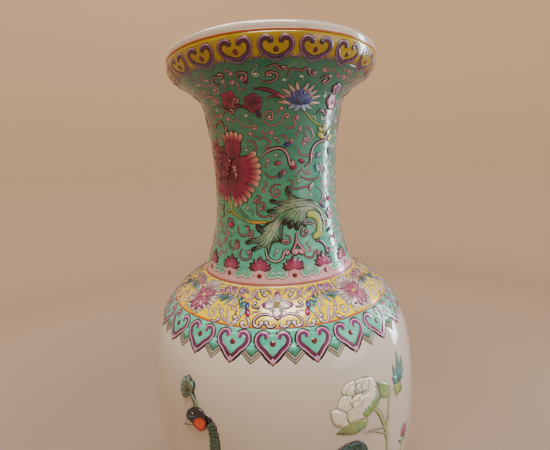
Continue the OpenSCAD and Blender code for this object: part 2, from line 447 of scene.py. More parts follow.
def pen(*parts, at=(0.0, 0.0), heading=90.0, step=0.5):
    """Path of a pen. Each part is a length in mm and the turn, in degrees per mm, at its two ends."""
    x, y, a, path = at[0], at[1], math.radians(heading), [at]
    for length, k0, k1 in parts:
        n = max(2, int(length / step))
        for i in range(n):
            a += math.radians(k0 + (k1 - k0) * (i + 0.5) / n) * length / n
            x, y = x + math.cos(a) * length / n, y + math.sin(a) * length / n
            path.append((x, y))
    return np.array(path)


def flip(path):
    """The path mirrored from left to right."""
    return np.array(path, float) * [-1, 1]


def turned(path, degrees, shift=(0, 0), scale=1.0):
    """The path scaled, turned about the origin and then shifted."""
    c, s = math.cos(math.radians(degrees)), math.sin(math.radians(degrees))
    return scale * np.array(path, float) @ np.array([[c, s], [-s, c]]) + np.array(shift)


def both_sides(half):
    """Closed outline from one half, listed from end to end of the middle line."""
    half = np.array(half, float)
    return np.vstack([half, flip(half)[::-1][1:-1]])


def beside(path, d):
    """Path moved sideways, to the left of travel."""
    return path + d * left_of(path)


class Spot:
    """A place on the vase that a motif is painted at: its own mm become theta and s.
    ref is the radius at which a mm round the vase is a true mm."""

    def __init__(self, degrees, s, scale=1.0, turn=0.0, mirror=False, ref=None):
        self.theta, self.s = math.radians(degrees), s
        self.ref = ref or float(r_at(s))
        self.scale, self.turn, self.mirror = scale, turn, mirror

    def __call__(self, p):
        p = flip(p) if self.mirror else p
        q = turned(p, self.turn, scale=self.scale)
        return self.theta + q[:, 0] / self.ref, self.s + q[:, 1]


def ring_of(count, first, s, **kw):
    """Spots at even angles all round the vase."""
    return [Spot(first + 360 / count * k, s, **kw) for k in range(count)]


# RELIEF scales every height of the paint; UNDER is where its shells start, just below the glaze.
RELIEF, UNDER = 0.55, -0.06


class Coat:
    """One enamel or ink of one motif: many small closed shells kept as one mesh."""

    def __init__(self, name, material, slot):
        self.name, self.material, self.slot = name, material, slot
        self.theta, self.s, self.h, self.rgb, self.faces, self.count = [], [], [], [], [], 0

    def add(self, spots, xy, h, rgb, faces):
        """Puts one shell, given by its points and faces, at every spot."""
        for spot in spots if isinstance(spots, list) else [spots]:
            theta, s = spot(xy)
            self.theta.append(theta)
            self.s.append(s)
            self.h.append(np.where(h > 0, RELIEF * h, h))
            self.rgb.append(rgb)
            self.faces.extend((f[:, ::-1] if spot.mirror else f) + self.count for f in faces if len(f))
            self.count += len(xy)

    def build(self):
        co = on_vase(np.concatenate(self.theta), np.concatenate(self.s), np.concatenate(self.h))
        groups = [[f for f in self.faces if f.shape[1] == k] for k in (3, 4)]
        faces = [np.concatenate(g) for g in groups if g]
        return mesh_object(self.name, co, faces, self.material,
                           colours=np.concatenate(self.rgb))


def shade(colour, count):
    """One colour for each of count points; a list of colours stays as it is."""
    c = np.atleast_2d(colour)
    return np.repeat(c, count, axis=0) if len(c) == 1 else c


def inside_of(outline, p):
    """Which of the points p lie inside a closed outline."""
    a, b = outline, np.roll(outline, -1, axis=0)
    y, x = p[:, 1:], p[:, :1]
    cross = (a[:, 1] > y) != (b[:, 1] > y)
    with np.errstate(divide="ignore", invalid="ignore"):
        at = (b[:, 0] - a[:, 0]) * (y - a[:, 1]) / (b[:, 1] - a[:, 1]) + a[:, 0]
    return (cross & (x < at)).sum(1) % 2 == 1


def fill(coat, spots, outline, colour, h=0.2, grid=2.0, dome=0.06):
    """A filled shape. colour is one colour, or a function of (xy, distance from the edge).
    grid is the spacing of the points inside it, and dome how far its middle stands higher."""
    outline = np.array(outline, float)
    lo, hi = outline.min(0), outline.max(0)
    gx, gy = np.meshgrid(np.arange(lo[0], hi[0], grid), np.arange(lo[1], hi[1], grid * 0.87))
    gx = gx + (np.arange(len(gx)) % 2)[:, None] * grid / 2
    p = np.column_stack([gx.ravel(), gy.ravel()])
    p = p[inside_of(outline, p)] if len(p) else p
    gap = lambda q: np.min(np.linalg.norm(q[:, None] - outline[None], axis=2), axis=1)
    p = p[gap(p) > 0.45 * grid] if len(p) else p
    points = [Vector(q) for q in outline] + [Vector(q) for q in p]
    v, _, f, *_ = delaunay_2d_cdt(points, [], [list(range(len(outline)))], 1, 1e-6)
    if not f:
        return
    v, f = np.array(v, float), np.array(f)
    a, b, c = v[f[:, 0]], v[f[:, 1]], v[f[:, 2]]
    if ((b - a)[:, 0] * (c - a)[:, 1] - (b - a)[:, 1] * (c - a)[:, 0]).sum() < 0:
        f = f[:, ::-1]
    n = len(v)
    edges = np.vstack([f[:, [0, 1]], f[:, [1, 2]], f[:, [2, 0]]])
    keys = {tuple(e) for e in edges.tolist()}
    rim = np.array([e for e in edges.tolist() if (e[1], e[0]) not in keys])
    side = np.column_stack([rim[:, 0], rim[:, 0] + n, rim[:, 1] + n, rim[:, 1]])
    d = gap(v)
    top = h + dome * (1 - np.exp(-d / 1.5))
    rgb = colour(v, d) if callable(colour) else shade(colour, n)
    coat.add(spots, np.vstack([v, v]), np.concatenate([top, np.full(n, UNDER)]),
             np.vstack([rgb, rgb]), [f, f[:, ::-1] + n, side])


def line(coat, spots, path, width, colour, h=0.3, taper=(0.25, 0.25), thin=0.25, closed=False):
    """A brush line. colour is one colour, two for its start and end, or one for every point.
    width can be a function. taper is the share of each end that narrows to thin of the width."""
    path = np.array(path, float)
    n = len(path)
    if closed:
        around = np.vstack([path[-1], path, path[0]])
        normal = left_of(around)[1:-1]
    else:
        normal = left_of(path)
    t = np.linspace(0, 1, n)
    w = width(t) if callable(width) else np.full(n, float(width))
    if not closed:
        w = w * np.clip(t / max(taper[0], 1e-6), thin, 1) ** 0.6
        w = w * np.clip((1 - t) / max(taper[1], 1e-6), thin, 1) ** 0.6
    rows = [path + normal * (w * k)[:, None] for k in (-0.5, -0.22, 0.22, 0.5)]
    xy = np.vstack(rows)
    hh = np.concatenate([np.full(n, k) for k in (UNDER, h, h, UNDER)])
    c = np.atleast_2d(colour)
    rgb = c[0] + (c[1] - c[0]) * t[:, None] if len(c) == 2 else shade(c, n)
    i = np.arange(n if closed else n - 1)
    j = (i + 1) % n
    quads = [np.column_stack([a * n + i, a * n + j, b * n + j, b * n + i])
             for a, b in ((0, 1), (1, 2), (2, 3), (3, 0))]
    if not closed:
        quads.append(np.array([[0, n, 2 * n, 3 * n], [4 * n - 1, 3 * n - 1, 2 * n - 1, n - 1]]))
    coat.add(spots, xy, hh, np.vstack([rgb] * 4), quads)


def dot(coat, spots, centre, radius, colour, h=0.35, stretch=1.0):
    """A round drop of enamel."""
    n = 12
    a = np.linspace(0, 2 * math.pi, n, endpoint=False)
    circle = np.column_stack([np.cos(a), np.sin(a) * stretch])
    xy = np.array(centre) + radius * np.vstack([circle, 0.85 * circle, [[0, 0], [0, 0]]])
    hh = np.concatenate([np.full(n, UNDER), np.full(n, 0.8 * h), [h, UNDER]])
    k = np.arange(n)
    k1 = (k + 1) % n
    quads = np.column_stack([k, k1, n + k1, n + k])
    top = np.column_stack([n + k, n + k1, np.full(n, 2 * n)])
    bottom = np.column_stack([k1, k, np.full(n, 2 * n + 1)])
    coat.add(spots, xy, hh, shade(colour, len(xy)), [quads, top, bottom])


class Brush:
    """A painter's hand: the coats it uses, where it paints, and how high the next stroke lies."""

    def __init__(self, spots, paint, outline, ink, base=0.14, lift=0.03):
        self.spots, self.paint, self.outline = spots, paint, outline
        self.ink, self.h, self.lift = ink, base, lift

    def stroke(self, path, width, colour, edge_w=0.5, taper=(0.25, 0.25), thin=0.3):
        """A band of paint with a fine dark line on both sides."""
        wide = (lambda t: width(t) + 2 * edge_w) if callable(width) else width + 2 * edge_w
        line(self.outline, self.spots, path, wide, self.ink, self.h, taper=taper, thin=thin)
        line(self.paint, self.spots, path, width, colour, self.h + 0.08, taper=taper, thin=thin)
        self.h += self.lift

    def shape(self, outline, colour, edge_w=0.62, grid=2.2, dome=0.08):
        """A filled outline with a fine dark line round it."""
        fill(self.paint, self.spots, outline, colour, self.h, grid=grid, dome=dome)
        if edge_w:
            line(self.outline, self.spots, outline, edge_w, self.ink, self.h + 0.1, closed=True)
        self.h += self.lift

    def grow(self, at, heading, length, width, tones, power=1.0, edge_w=0.6, grid=2.2, dome=0.08,
             reach=None, **form):
        """A petal that grows from a place, toned from its root to its tip, or to reach mm away."""
        outline = put(petal(length, width, **form), heading, at)
        self.shape(outline, to_tip(*tones, reach or length, power, at), edge_w, grid, dome)

    def hair(self, path, width=0.55, colour=None, taper=(0.3, 0.3)):
        """A fine line: dark, or of one paint colour."""
        coat = self.outline if colour is None else self.paint
        line(coat, self.spots, path, width, self.ink if colour is None else colour,
             self.h + 0.1, taper=taper)

    def drop(self, centre, radius, colour, edge_w=0.4):
        """A round drop with a dark edge; edge_w = 0 leaves the edge out."""
        if edge_w:
            dot(self.outline, self.spots, centre, radius + edge_w, self.ink, self.h)
        dot(self.paint, self.spots, centre, radius, colour, self.h + 0.1)
        self.h += self.lift


def petal(length, width, point=0.5, fullness=0.6, bend=0.0, steps=11, root=0.12):
    """Petal outline from the origin along +y. fullness is where it is widest, point how its tip
    narrows, root how wide it starts, and bend how far its tip leans to the right."""
    t = np.linspace(0, 1, steps)
    grow = np.sin(np.clip(t / fullness, 0, 1) * math.pi / 2)
    fall = np.clip((1 - t) / (1 - fullness), 0, 1)
    w = 0.5 * width * np.where(t < fullness, root + (1 - root) * grow, fall**point)
    x_mid = bend * t * t * length
    right = np.column_stack([x_mid + w, t * length])
    left = np.column_stack([x_mid - w, t * length])[::-1]
    return even(np.vstack([right, left[1:], right[:1]]), 0.7)[:-1]


def to_tip(root, tip, length, power, at=(0, 0)):
    """Colour that runs from the root of a petal, at a place, to its tip."""
    def colour(xy, _):
        r = np.clip(np.linalg.norm(xy - np.array(at), axis=1) / length, 0, 1)[:, None] ** power
        return np.array(root) * (1 - r) + np.array(tip) * r
    return colour


def by_edge(edge, middle, depth, most=1.0):
    """Colour that runs from an edge towards the middle of a shape, depth mm in."""
    return lambda _, d: edge + (middle - edge) * np.clip(d / depth, 0, most)[:, None]


def fan(length, spread, lobes, depth=0.2, waist=0.16):
    """Outline of a fringed petal that opens along +y, with rounded lobes at its edge."""
    u = np.linspace(0, 1, 12 * lobes + 1)
    a = np.radians(90 + spread * (0.5 - u))
    r = length * (1 - depth + depth * np.abs(np.sin(math.pi * lobes * u)) ** 0.5)
    r = r * (1 - 0.14 * (2 * u - 1) ** 2)
    edge = np.column_stack([r * np.cos(a), r * np.sin(a)])
    root = np.array([(waist * length, 0.04 * length), (-waist * length, 0.04 * length)])
    sides = [root[1] + (edge[0] - root[1]) * t + np.array([-0.06 * length * math.sin(t * math.pi), 0])
             for t in (0.0, 0.3, 0.65)]
    other = [np.array(flip(p)) for p in sides][::-1]
    return even(np.vstack([sides, edge, other, [sides[0]]]), 0.7)[:-1]


def put(path, heading, at=(0, 0)):
    """A path drawn along +y, turned to a heading in degrees and moved to a place."""
    return turned(path, heading - 90, at)


def ahead(at, heading, length):
    """The point that lies length mm from a place."""
    return put([(0, length)], heading, at)[0]


def heading_of(way):
    """Heading of a vector in degrees."""
    return math.degrees(math.atan2(way[1], way[0]))


# ---------------------------------------------------------------- paint colours

RUBY, DEEP_RUBY, ROSE = lin(168, 12, 98), lin(88, 4, 50), lin(214, 96, 152)
BLUSH, CREAM, WHITE = lin(228, 170, 190), lin(244, 220, 196), lin(240, 236, 228)
LILAC, PURPLE, PLUM, VIOLET = lin(202, 162, 206), lin(126, 56, 122), lin(62, 20, 60), lin(92, 48, 118)
SKY, BLUE, NAVY = lin(150, 190, 222), lin(56, 84, 178), lin(30, 34, 104)
MINT, LEAF, DEEP_GREEN = lin(188, 228, 206), lin(76, 156, 118), lin(12, 56, 42)
LIME, OLIVE, TEAL = lin(192, 208, 70), lin(132, 138, 60), lin(48, 144, 150)
RUST, ORANGE, GOLD = lin(122, 38, 34), lin(224, 80, 34), lin(216, 170, 50)
DARK_RUBY = lin(132, 8, 76)
BLACK, BLACK_GREEN, BROWN = lin(30, 26, 30), lin(16, 36, 26), lin(104, 34, 34)

# ---------------------------------------------------------------- coats of paint

coats = []


def coat(name, material, slot):
    """A new coat, listed to be built at the end."""
    c = Coat(name, material, slot)
    coats.append(c)
    return c


def lobe(half):
    """Closed smooth outline from one half of a shape."""
    return both_sides(smooth(half, step=0.6))


# ---------------------------------------------------------------- mouth border

HEADS, HEAD_TURN, S_HEADS = 20, 2.5, S_LIP - 13.6
mouth_paint = coat("mouth_ruyi_paint", ENAMEL, "pink_enamel")
mouth_ink = coat("mouth_ruyi_outline", INK, "iron_red")
heads = ring_of(HEADS, HEAD_TURN, S_HEADS)
gaps = ring_of(HEADS, HEAD_TURN + 180 / HEADS, S_HEADS)

scroll = smooth([(0, -7.4), (5.0, -5.4), (9.8, -2.4), (12.2, 1.8), (11.2, 5.8), (7.9, 7.4),
                 (4.4, 6.4), (3.9, 3.6)])
for half, side in ((scroll, -1), (flip(scroll), 1)):
    line(mouth_ink, heads, half, 6.4, BLACK, h=0.24, taper=(0.01, 0.04), thin=0.75)
    line(mouth_paint, heads, half, 4.8, [VIOLET, PLUM], h=0.36, taper=(0.01, 0.04), thin=0.6)
    line(mouth_paint, heads, beside(half, side * 1.1)[8:-3], 1.3, [VIOLET, LILAC], h=0.46,
         taper=(0.5, 0.1))
    line(mouth_paint, heads, beside(half, -side * 1.3)[3:-3], 1.0, DEEP_RUBY, h=0.44)
dot(mouth_ink, heads, (0, -0.8), 2.5, BLACK, h=0.3, stretch=1.05)
dot(mouth_paint, heads, (0, -0.8), 2.0, BROWN, h=0.42, stretch=1.05)
for x in (-1, 1):
    line(mouth_ink, gaps, smooth([(x * 4.4, -1.6), (x * 2.6, -3.2), (x * 0.9, -6.0)]), 0.6, BLACK,
         h=0.28, taper=(0.3, 0.1))

rim_low = smooth([(-16.2, -6.8), (-13.2, -6.6), (-10.6, -3.4), (-8.4, -6.0), (-3.6, -9.6), (0, -11.0),
                  (3.6, -9.6), (8.4, -6.0), (10.6, -3.4), (13.2, -6.6), (16.2, -6.8)])
line(mouth_ink, heads, rim_low, 3.2, BLACK, h=0.2, taper=(0, 0))
line(mouth_paint, heads, rim_low, 2.2, VIOLET, h=0.3, taper=(0, 0))
line(mouth_paint, heads, rim_low + [0, 0.3], 0.6, LILAC, h=0.38, taper=(0, 0))
line(mouth_ink, heads, rim_low + [0, -2.4], 0.6, BLACK_GREEN, h=0.2, taper=(0, 0))

# ---------------------------------------------------------------- hanging collar of the shoulder

LAPPETS, COLLAR_TURN = 23, -3.5
collar_ground = coat("collar_turquoise_lappets", TURQUOISE, "turquoise_enamel")
collar_paint = coat("collar_ruyi_paint", ENAMEL, "pink_enamel")
collar_white = coat("collar_white_edges", ENAMEL, "glaze")
collar_ink = coat("collar_outline", INK, "iron_red")
collar_vee = coat("collar_lappet_lines", INK, "iron_red")
S_COLLAR = S_SHOULDER - 2.0
RIBBON = [(0, -21.4), (3.2, -18.2), (5.8, -15.0), (9.0, -12.2), (11.0, -8.6), (10.6, -5.2),
          (8.6, -2.9), (6.1, -2.7), (4.2, -4.2), (4.1, -6.8)]
TIP_MIDDLE = np.array([0, -21.4])
TIP = np.array([(0, -24.0), (2.0, -21.8), (0, -19.2), (-2.0, -21.8)])
HEART = [(0, -3.6), (3.4, -3.4), (6.6, -3.0), (9.6, -5.0), (10.4, -8.2), (8.8, -11.6), (5.8, -14.4),
         (3.2, -17.4), (0, -20.6)]
DRAWN_W = 14.3  # half the spacing of the heads, in the mm of these points
VEE_TOP, VEE_BACK = -13.0, -10.0
PALE_GREY, GREEN_GREY = lin(206, 214, 204), lin(84, 104, 94)


def ruyi_collar(first, s, up=1):
    """A ring of ruyi heads that hang from s, with pointed lappets between them; up = -1 turns them up."""
    wide = float(r_at(s)) * math.pi / LAPPETS / DRAWN_W
    turn = 0 if up > 0 else 180
    ring = ring_of(LAPPETS, first, s, scale=wide, turn=turn)
    between = ring_of(LAPPETS, first + 180 / LAPPETS, s, scale=wide, turn=turn)
    for k, (low, target, colour) in enumerate((
            (-24.2, collar_vee, GREEN_GREY), (-23.5, collar_white, PALE_GREY),
            (-21.8, collar_vee, GREEN_GREY), (-21.1, collar_white, PALE_GREY),
            (-19.4, collar_vee, GREEN_GREY), (-18.6, collar_ground, BLACK))):
        w = VEE_TOP - low
        vee = [(0, low), (w, VEE_TOP), (w, VEE_BACK), (-w, VEE_BACK), (-w, VEE_TOP), (0, low)]
        vee = even(np.array(vee), 0.9)
        fill(target, between, vee[:-1], colour, h=0.08 + 0.04 * k, dome=0.02, grid=3.0)
    tick = np.array([(0, -16.2), (2.6, -13.6), (4.2, -11.4)])
    for half in (tick, flip(tick)):
        line(collar_vee, between, even(half, 0.8), 0.5, BLACK, h=0.32, taper=(0.05, 0.4))
    fill(collar_ground, ring, lobe(HEART), BLACK, h=0.40, dome=0.02, grid=2.6)
    ribbon = smooth(RIBBON)
    tip_edge = (TIP - TIP_MIDDLE) * 1.3 + TIP_MIDDLE
    fill(collar_ink, ring, even(tip_edge, 0.8), BLACK, h=0.46, dome=0, grid=3)
    fill(collar_paint, ring, even(TIP, 0.8), BLUSH, h=0.54, dome=0, grid=3)
    for k, (half, side) in enumerate(((ribbon, -1), (flip(ribbon), 1))):
        h = 0.48 + 0.01 * k
        line(collar_ink, ring, half, 6.5, BLACK, h=h, taper=(0, 0.02), thin=0.8)
        line(collar_paint, ring, half, 5.3, [LILAC, BLUSH], h=h + 0.08, taper=(0, 0.02), thin=0.8)
        inner = beside(half, -side * 0.6)
        inner = inner[-side * inner[:, 0] > 0.1]
        line(collar_ink, ring, inner, 4.5, BLACK, h=h + 0.15, taper=(0, 0.02), thin=0.8)
        line(collar_paint, ring, inner, 3.6, [DEEP_RUBY, PURPLE], h=h + 0.23, taper=(0, 0.02),
             thin=0.8)
        line(collar_paint, ring, beside(half, -side * 1.5)[3:-6], 0.8, DEEP_RUBY, h=h + 0.3)
    dot(collar_ink, ring, (0, -9.8), 2.5, BLACK, h=0.6)
    dot(collar_paint, ring, (0, -9.8), 2.1, BROWN, h=0.72)


ruyi_collar(COLLAR_TURN, S_COLLAR)
skin("turquoise_collar_ground", S_COLLAR + VEE_TOP, S_SHOULDER - LINE, 0.0, BORDER_T, TURQUOISE,
     "collar_band")

# ---------------------------------------------------------------- palmettes at the foot of the neck

PALMS, PALM_TURN = 15, 10.4
NECK_REF = 66.0
palm_paint = coat("neck_palmette_paint", ENAMEL, "pink_enamel")
palm_ink = coat("neck_palmette_outline", INK, "iron_red")
palm_green = coat("neck_cloud_edge", ENAMEL, "turquoise_enamel")
palm_ground = coat("neck_cloud_turquoise", TURQUOISE, "turquoise_enamel")
palm_pink = coat("neck_pink_arches", PINK, "pink_enamel")
palms = ring_of(PALMS, PALM_TURN, S_NECK, ref=NECK_REF)
clouds = ring_of(PALMS, PALM_TURN + 180 / PALMS, S_NECK, ref=NECK_REF)
CLOUD_EDGE = lin(216, 230, 206)

half_step = NECK_REF * math.pi / PALMS
edge_path = smooth([(0, 16.4), (3.6, 15.8), (6.0, 13.8), (5.8, 11.4), (7.0, 8.9), (9.6, 7.7), (11.8, 8.2),
                    (half_step, 9.9)])
arch_end = int(np.argmax(edge_path[:, 1] < 10.0))
arch = both_sides(np.vstack([edge_path[:arch_end], [(0, 9.0)]]))
fill(palm_pink, palms, arch, BLACK, h=0.2, dome=0.02)
CLOUD_TOP = 13.4
low_start = int(np.argmax(edge_path[:, 1] < CLOUD_TOP))
cell = np.vstack([[(half_step, CLOUD_TOP)], edge_path[low_start:]]) - [half_step, 0]
cell = even(np.vstack([both_sides(cell), cell[:1]]), 0.8)[:-1]
fill(palm_ground, clouds, cell, BLACK, h=0.24, dome=0.02)
curl = smooth([(13.8, 13.2), (11.6, 11.6), (9.4, 12.2), (8.4, 13.8), (9.4, 15.6), (11.4, 15.2)])
for edge, inner_curl in ((edge_path, curl), (flip(edge_path), flip(curl))):
    line(palm_ink, palms, edge, 3.5, BLACK, h=0.36, taper=(0, 0))
    line(palm_green, palms, edge, 2.5, CLOUD_EDGE, h=0.46, taper=(0, 0))
    line(palm_ink, palms, inner_curl, 1.7, BLACK, h=0.4, taper=(0.1, 0.2))
    line(palm_green, palms, inner_curl, 1.0, CLOUD_EDGE, h=0.5, taper=(0.1, 0.2))
dot(palm_ink, palms, (0, 9.6), 2.2, BLACK, h=0.5, stretch=1.15)
dot(palm_paint, palms, (0, 9.6), 1.85, RUST, h=0.62, stretch=1.15)
arch_line = smooth([(0, 14.4), (2.6, 13.6), (4.0, 11.4), (3.2, 9.0)])
line(palm_paint, palms, arch_line, 0.7, BLUSH, h=0.5)
line(palm_paint, palms, flip(arch_line), 0.7, BLUSH, h=0.5)
palm_foot = (0, 16.0)
for angle, length in ((172, 9.4), (8, 9.4), (150, 10.2), (30, 10.2), (121, 10.8), (59, 10.8), (90, 12.4)):
    shape = petal(length, 4.9, point=0.7, fullness=0.55)
    h = 0.74 if angle == 90 else 0.52 + 0.2 * (1 - abs(angle - 90) / 90)
    fill(palm_ink, palms, put(shape * [1.2, 1.06], angle, palm_foot), BLACK, h=h, dome=0.0, grid=4)
    fill(palm_paint, palms, put(shape * 0.92, angle, palm_foot),
         to_tip(ROSE, DEEP_RUBY, length, 0.8, palm_foot), h=h + 0.08, grid=1.6)

# ---------------------------------------------------------------- flowers and scrolls of the shoulder

SHOULDER_REF, S_BAND = 105.5, (S_NECK + S_SHOULDER) / 2
FLOWERS, SHOULDER_TURN = 4, -1.6
SILVER = lin(204, 188, 202)
scroll_paint = coat("shoulder_scroll_paint", ENAMEL, "glaze")
scroll_ink = coat("shoulder_scroll_outline", INK, "iron_red")
flower_paint = coat("shoulder_flower_paint", ENAMEL, "pink_enamel")
leaf_paint = coat("shoulder_leaf_paint", ENAMEL, "turquoise_enamel")


def hook(brush, *points, width=2.0):
    """A curling stem that ends in a bud."""
    path = smooth(points)
    brush.stroke(path, width, [LILAC, SILVER], 0.8, taper=(0.15, 0.05), thin=0.4)
    brush.drop(path[-1], 0.9 * width, SILVER, 0.8)


def ring_of_drops(brush, count, radius, size, edge_w, down=0.0):
    """Gold drops in a ring round the middle of a flower."""
    for k in range(count):
        a = math.radians(360 / count * k)
        brush.drop((radius * math.cos(a), radius * math.sin(a) - down), size, GOLD, edge_w)


def cross_flower(spots):
    """Flower with four great petals, pale leaves between them and curling stems round it."""
    flowers = Brush(spots, flower_paint, scroll_ink, PLUM, base=0.24)
    pale = Brush(spots, scroll_paint, scroll_ink, BLACK, base=0.14)
    for k in range(4):
        for side in (-16, 0, 16):
            pale.grow((0, 0), 45 + 90 * k + side, 8.6 - abs(side) * 0.1, 3.6, (OLIVE, WHITE), 0.7, 0.55,
                      reach=8, point=0.4, fullness=0.7)
    for k in range(4):
        a = 90 * k + 90
        flowers.grow((0, 0), a, 13.2, 8.0, (WHITE, PURPLE), 1.4, 0.8, point=0.42, fullness=0.62, root=0.3)
        for x in (-1.9, -0.7, 0.7, 1.9):
            vein = put([(x * 0.6, 3.4), (x * 1.2, 7.2), (x * 0.9, 10.6)], a)
            flowers.hair(smooth(vein), 0.55, DARK_RUBY)
        tip = petal(5.0, 4.4, fullness=0.45, root=0.4)
        flowers.shape(put(tip, a, ahead((0, 0), a, 8.6)), [DARK_RUBY, PURPLE][k % 2], 0.6)
    flowers.drop((0, 0), 3.3, OLIVE)
    flowers.h += 0.1
    ring_of_drops(flowers, 6, 1.7, 0.55, 0.25)
    flowers.drop((0, 0), 0.8, RUST, 0.3)
    for side in (1, -1):
        q = lambda *pts: [(side * x, y) for x, y in pts]
        hook(pale, *q((3.6, -10.4), (8.0, -8.2), (13.0, -9.0), (16.8, -12.6), (16.4, -17.4),
                      (12.6, -18.2), (11.6, -15.4)))
        hook(pale, *q((1.2, -15.2), (3.0, -18.0), (6.6, -18.0), (8.0, -15.2)), width=1.8)
        hook(pale, *q((5.4, 10.0), (8.6, 14.2), (13.0, 15.0), (14.6, 11.6), (11.8, 9.4)))
        hook(pale, *q((14.4, 5.0), (18.6, 6.6), (20.6, 11.0), (18.0, 14.6), (14.8, 13.4)), width=1.8)
        hook(pale, *q((14.0, -1.6), (17.4, -2.6), (20.6, -1.2), (19.2, 1.4)), width=1.7)


def small_peony(spots):
    """Round flower of pale fringed petals, ruby ones and a green heart."""
    flowers = Brush(spots, flower_paint, scroll_ink, PLUM, base=0.24)
    pale = Brush(spots, scroll_paint, scroll_ink, BLACK, base=0.16)
    green = Brush(spots, leaf_paint, scroll_ink, BLACK_GREEN, base=0.2)
    for a in range(-120, 240, 24):
        length = 19 if a % 48 else 17.5
        shape = fan(length, 26, 2, depth=0.24)
        pale.shape(put(shape, a), to_tip(DARK_RUBY, WHITE, length, 2.0), 0.8)
    for a in (8, 172, -22, 202, -48, 228, -74, 254, 30, 150):
        flowers.grow((0, -1), a, 14.2, 5.4, (BLUSH, DARK_RUBY), 0.9, 0.8, 1.8, reach=14, point=0.4,
                     fullness=0.7)
    for a, length in ((90, 16), (68, 13.5), (112, 13.5), (48, 10), (132, 10)):
        green.grow((0, 1), a, length, 5.0, (LIME, MINT), 1.1, 0.55, point=0.6, fullness=0.55)
        green.hair(put([(0, 2.0), (0, 0.5 * length), (0, 0.86 * length)], a, (0, 1)), 0.4, LEAF)
    flowers.h += 0.1
    for a in range(20, 380, 60):
        flowers.grow((0, -0.5), a, 6.4, 4.4, (DEEP_RUBY, ROSE), 1.0, 0.35, 1.6, point=0.4, fullness=0.7)
    flowers.drop((0, -0.5), 2.6, LIME, 0.55)
    ring_of_drops(flowers, 4, 1.3, 0.45, 0.2, down=0.5)


def feather(spots):
    """Blue-green leaf that curls between two flowers, with buds, tendrils and half flowers."""
    pale = Brush(spots, scroll_paint, scroll_ink, BLACK, base=0.14)
    flowers = Brush(spots, flower_paint, scroll_ink, PLUM, base=0.2)
    leaves = Brush(spots, leaf_paint, scroll_ink, BLACK_GREEN, base=0.26)
    hook(pale, (13.5, 2.0), (17.6, -3.0), (17.4, -10.6), (13.6, -15.0), (10.0, -12.4), (12.4, -9.6))
    hook(pale, (2.0, -5.4), (-1.0, -10.4), (-3.2, -16.4), (-6.6, -18.4), (-8.4, -15.8))
    hook(pale, (-3.4, -15.6), (0.4, -15.4), (3.6, -12.6), (5.6, -9.0), width=1.8)
    hook(pale, (-15.6, -10.6), (-19.2, -14.4), (-18.6, -18.4), (-15.0, -18.6), (-14.2, -16.0))
    hook(pale, (-11.6, -9.6), (-10.2, -14.0), (-7.2, -12.0), width=1.7)
    hook(pale, (6.8, 9.4), (9.6, 13.8), (14.4, 14.6), (17.6, 11.0), width=1.8)
    hook(pale, (-12.4, 9.6), (-9.0, 13.4), (-4.6, 14.6), (-3.4, 12.0), width=1.7)
    hook(pale, (11.4, -17.8), (7.6, -18.2), (5.4, -15.8), width=1.7)
    spine = smooth([(-18.0, 3.4), (-11.0, 4.8), (-3.0, 9.0), (5.0, 9.4), (11.0, 6.0), (14.6, 0.6)])
    flowers.stroke(spine, 2.0, [ROSE, LILAC])
    for at, a, length, *tones in (
            ((-6, 7), -112, 8.5, BLACK_GREEN, TEAL), ((-2, 8.6), -98, 11.5, DEEP_GREEN, WHITE),
            ((2, 9.0), -84, 13.0, NAVY, SKY), ((5.6, 8.8), -70, 12.0, BLACK_GREEN, TEAL),
            ((8.6, 7.4), -56, 10.5, DEEP_GREEN, MINT), ((10.6, 6.0), -38, 9.0, NAVY, SKY)):
        leaves.grow(at, a, length, 4.2, tones, 1.6, 0.8, 1.8, point=0.6, fullness=0.5, bend=-0.22)
        leaves.hair(put([(0, 1), (-0.1 * length, 0.55 * length)], a, at), 0.5, WHITE)
    for at, a in (((12.0, 7.4), 82), ((13.6, 6.6), 42), ((9.8, 8.2), 118)):
        flowers.grow(at, a, 8.4, 4.8, (BLUSH, DARK_RUBY), 0.8, 0.8, 1.8, point=0.45, fullness=0.65)
    for at, a, tip in (((-2.0, 9.8), 96, RUBY), ((1.6, 10.2), 66, BLUE), ((-4.4, 8.6), 134, PURPLE)):
        flowers.grow(at, a, 6.4, 3.8, (LILAC, tip), 0.9, 0.8, 1.8)
    flowers.drop((-19.0, 9.4), 2.3, LILAC)
    flowers.stroke(smooth([(-18.6, 7.2), (-16.8, 4.8)]), 1.4, RUBY)
    for at, a, *tones in (((-14.0, 2.6), -96, NAVY, BLUE), ((-12.0, 3.0), -66, BLACK_GREEN, TEAL),
                          ((-15.4, -3.6), -106, DEEP_RUBY, RUBY), ((-13.0, -2.8), -78, TEAL, MINT)):
        leaves.grow(at, a, 8.0, 4.2, tones, 1.0, 0.55, 1.8)


def shoulder_spots(offset, **kw):
    """Spots in the middle of the yellow band, offset degrees from the cross flowers."""
    return ring_of(FLOWERS, SHOULDER_TURN + offset, S_BAND, ref=SHOULDER_REF, **kw)


cross_flower(shoulder_spots(0, scale=1.1))
small_peony(shoulder_spots(45, scale=1.12))
feather(shoulder_spots(24.0, scale=1.12))
feather(shoulder_spots(-24.0, mirror=True, scale=1.12))


# ---------------------------------------------------------------- peony and lotus scroll of the neck

tendril_paint = coat("neck_tendrils", ENAMEL, "pink_enamel")
tendril_ink = coat("neck_tendril_outline", BROWN_INK, "iron_red")
peony_paint = coat("neck_peony", ENAMEL, "pink_enamel")
bloom_ink = coat("neck_flower_outline", INK, "iron_red")
acanthus_paint = coat("neck_leaf", ENAMEL, "turquoise_enamel")
acanthus_ink = coat("neck_leaf_outline", GREEN_INK, "iron_red")
lotus_paint = coat("neck_lotus", ENAMEL, "glaze")
CORAL, PALE_PINK = lin(166, 112, 128), lin(206, 160, 178)
LEAF_WASH = lin(84, 168, 132)


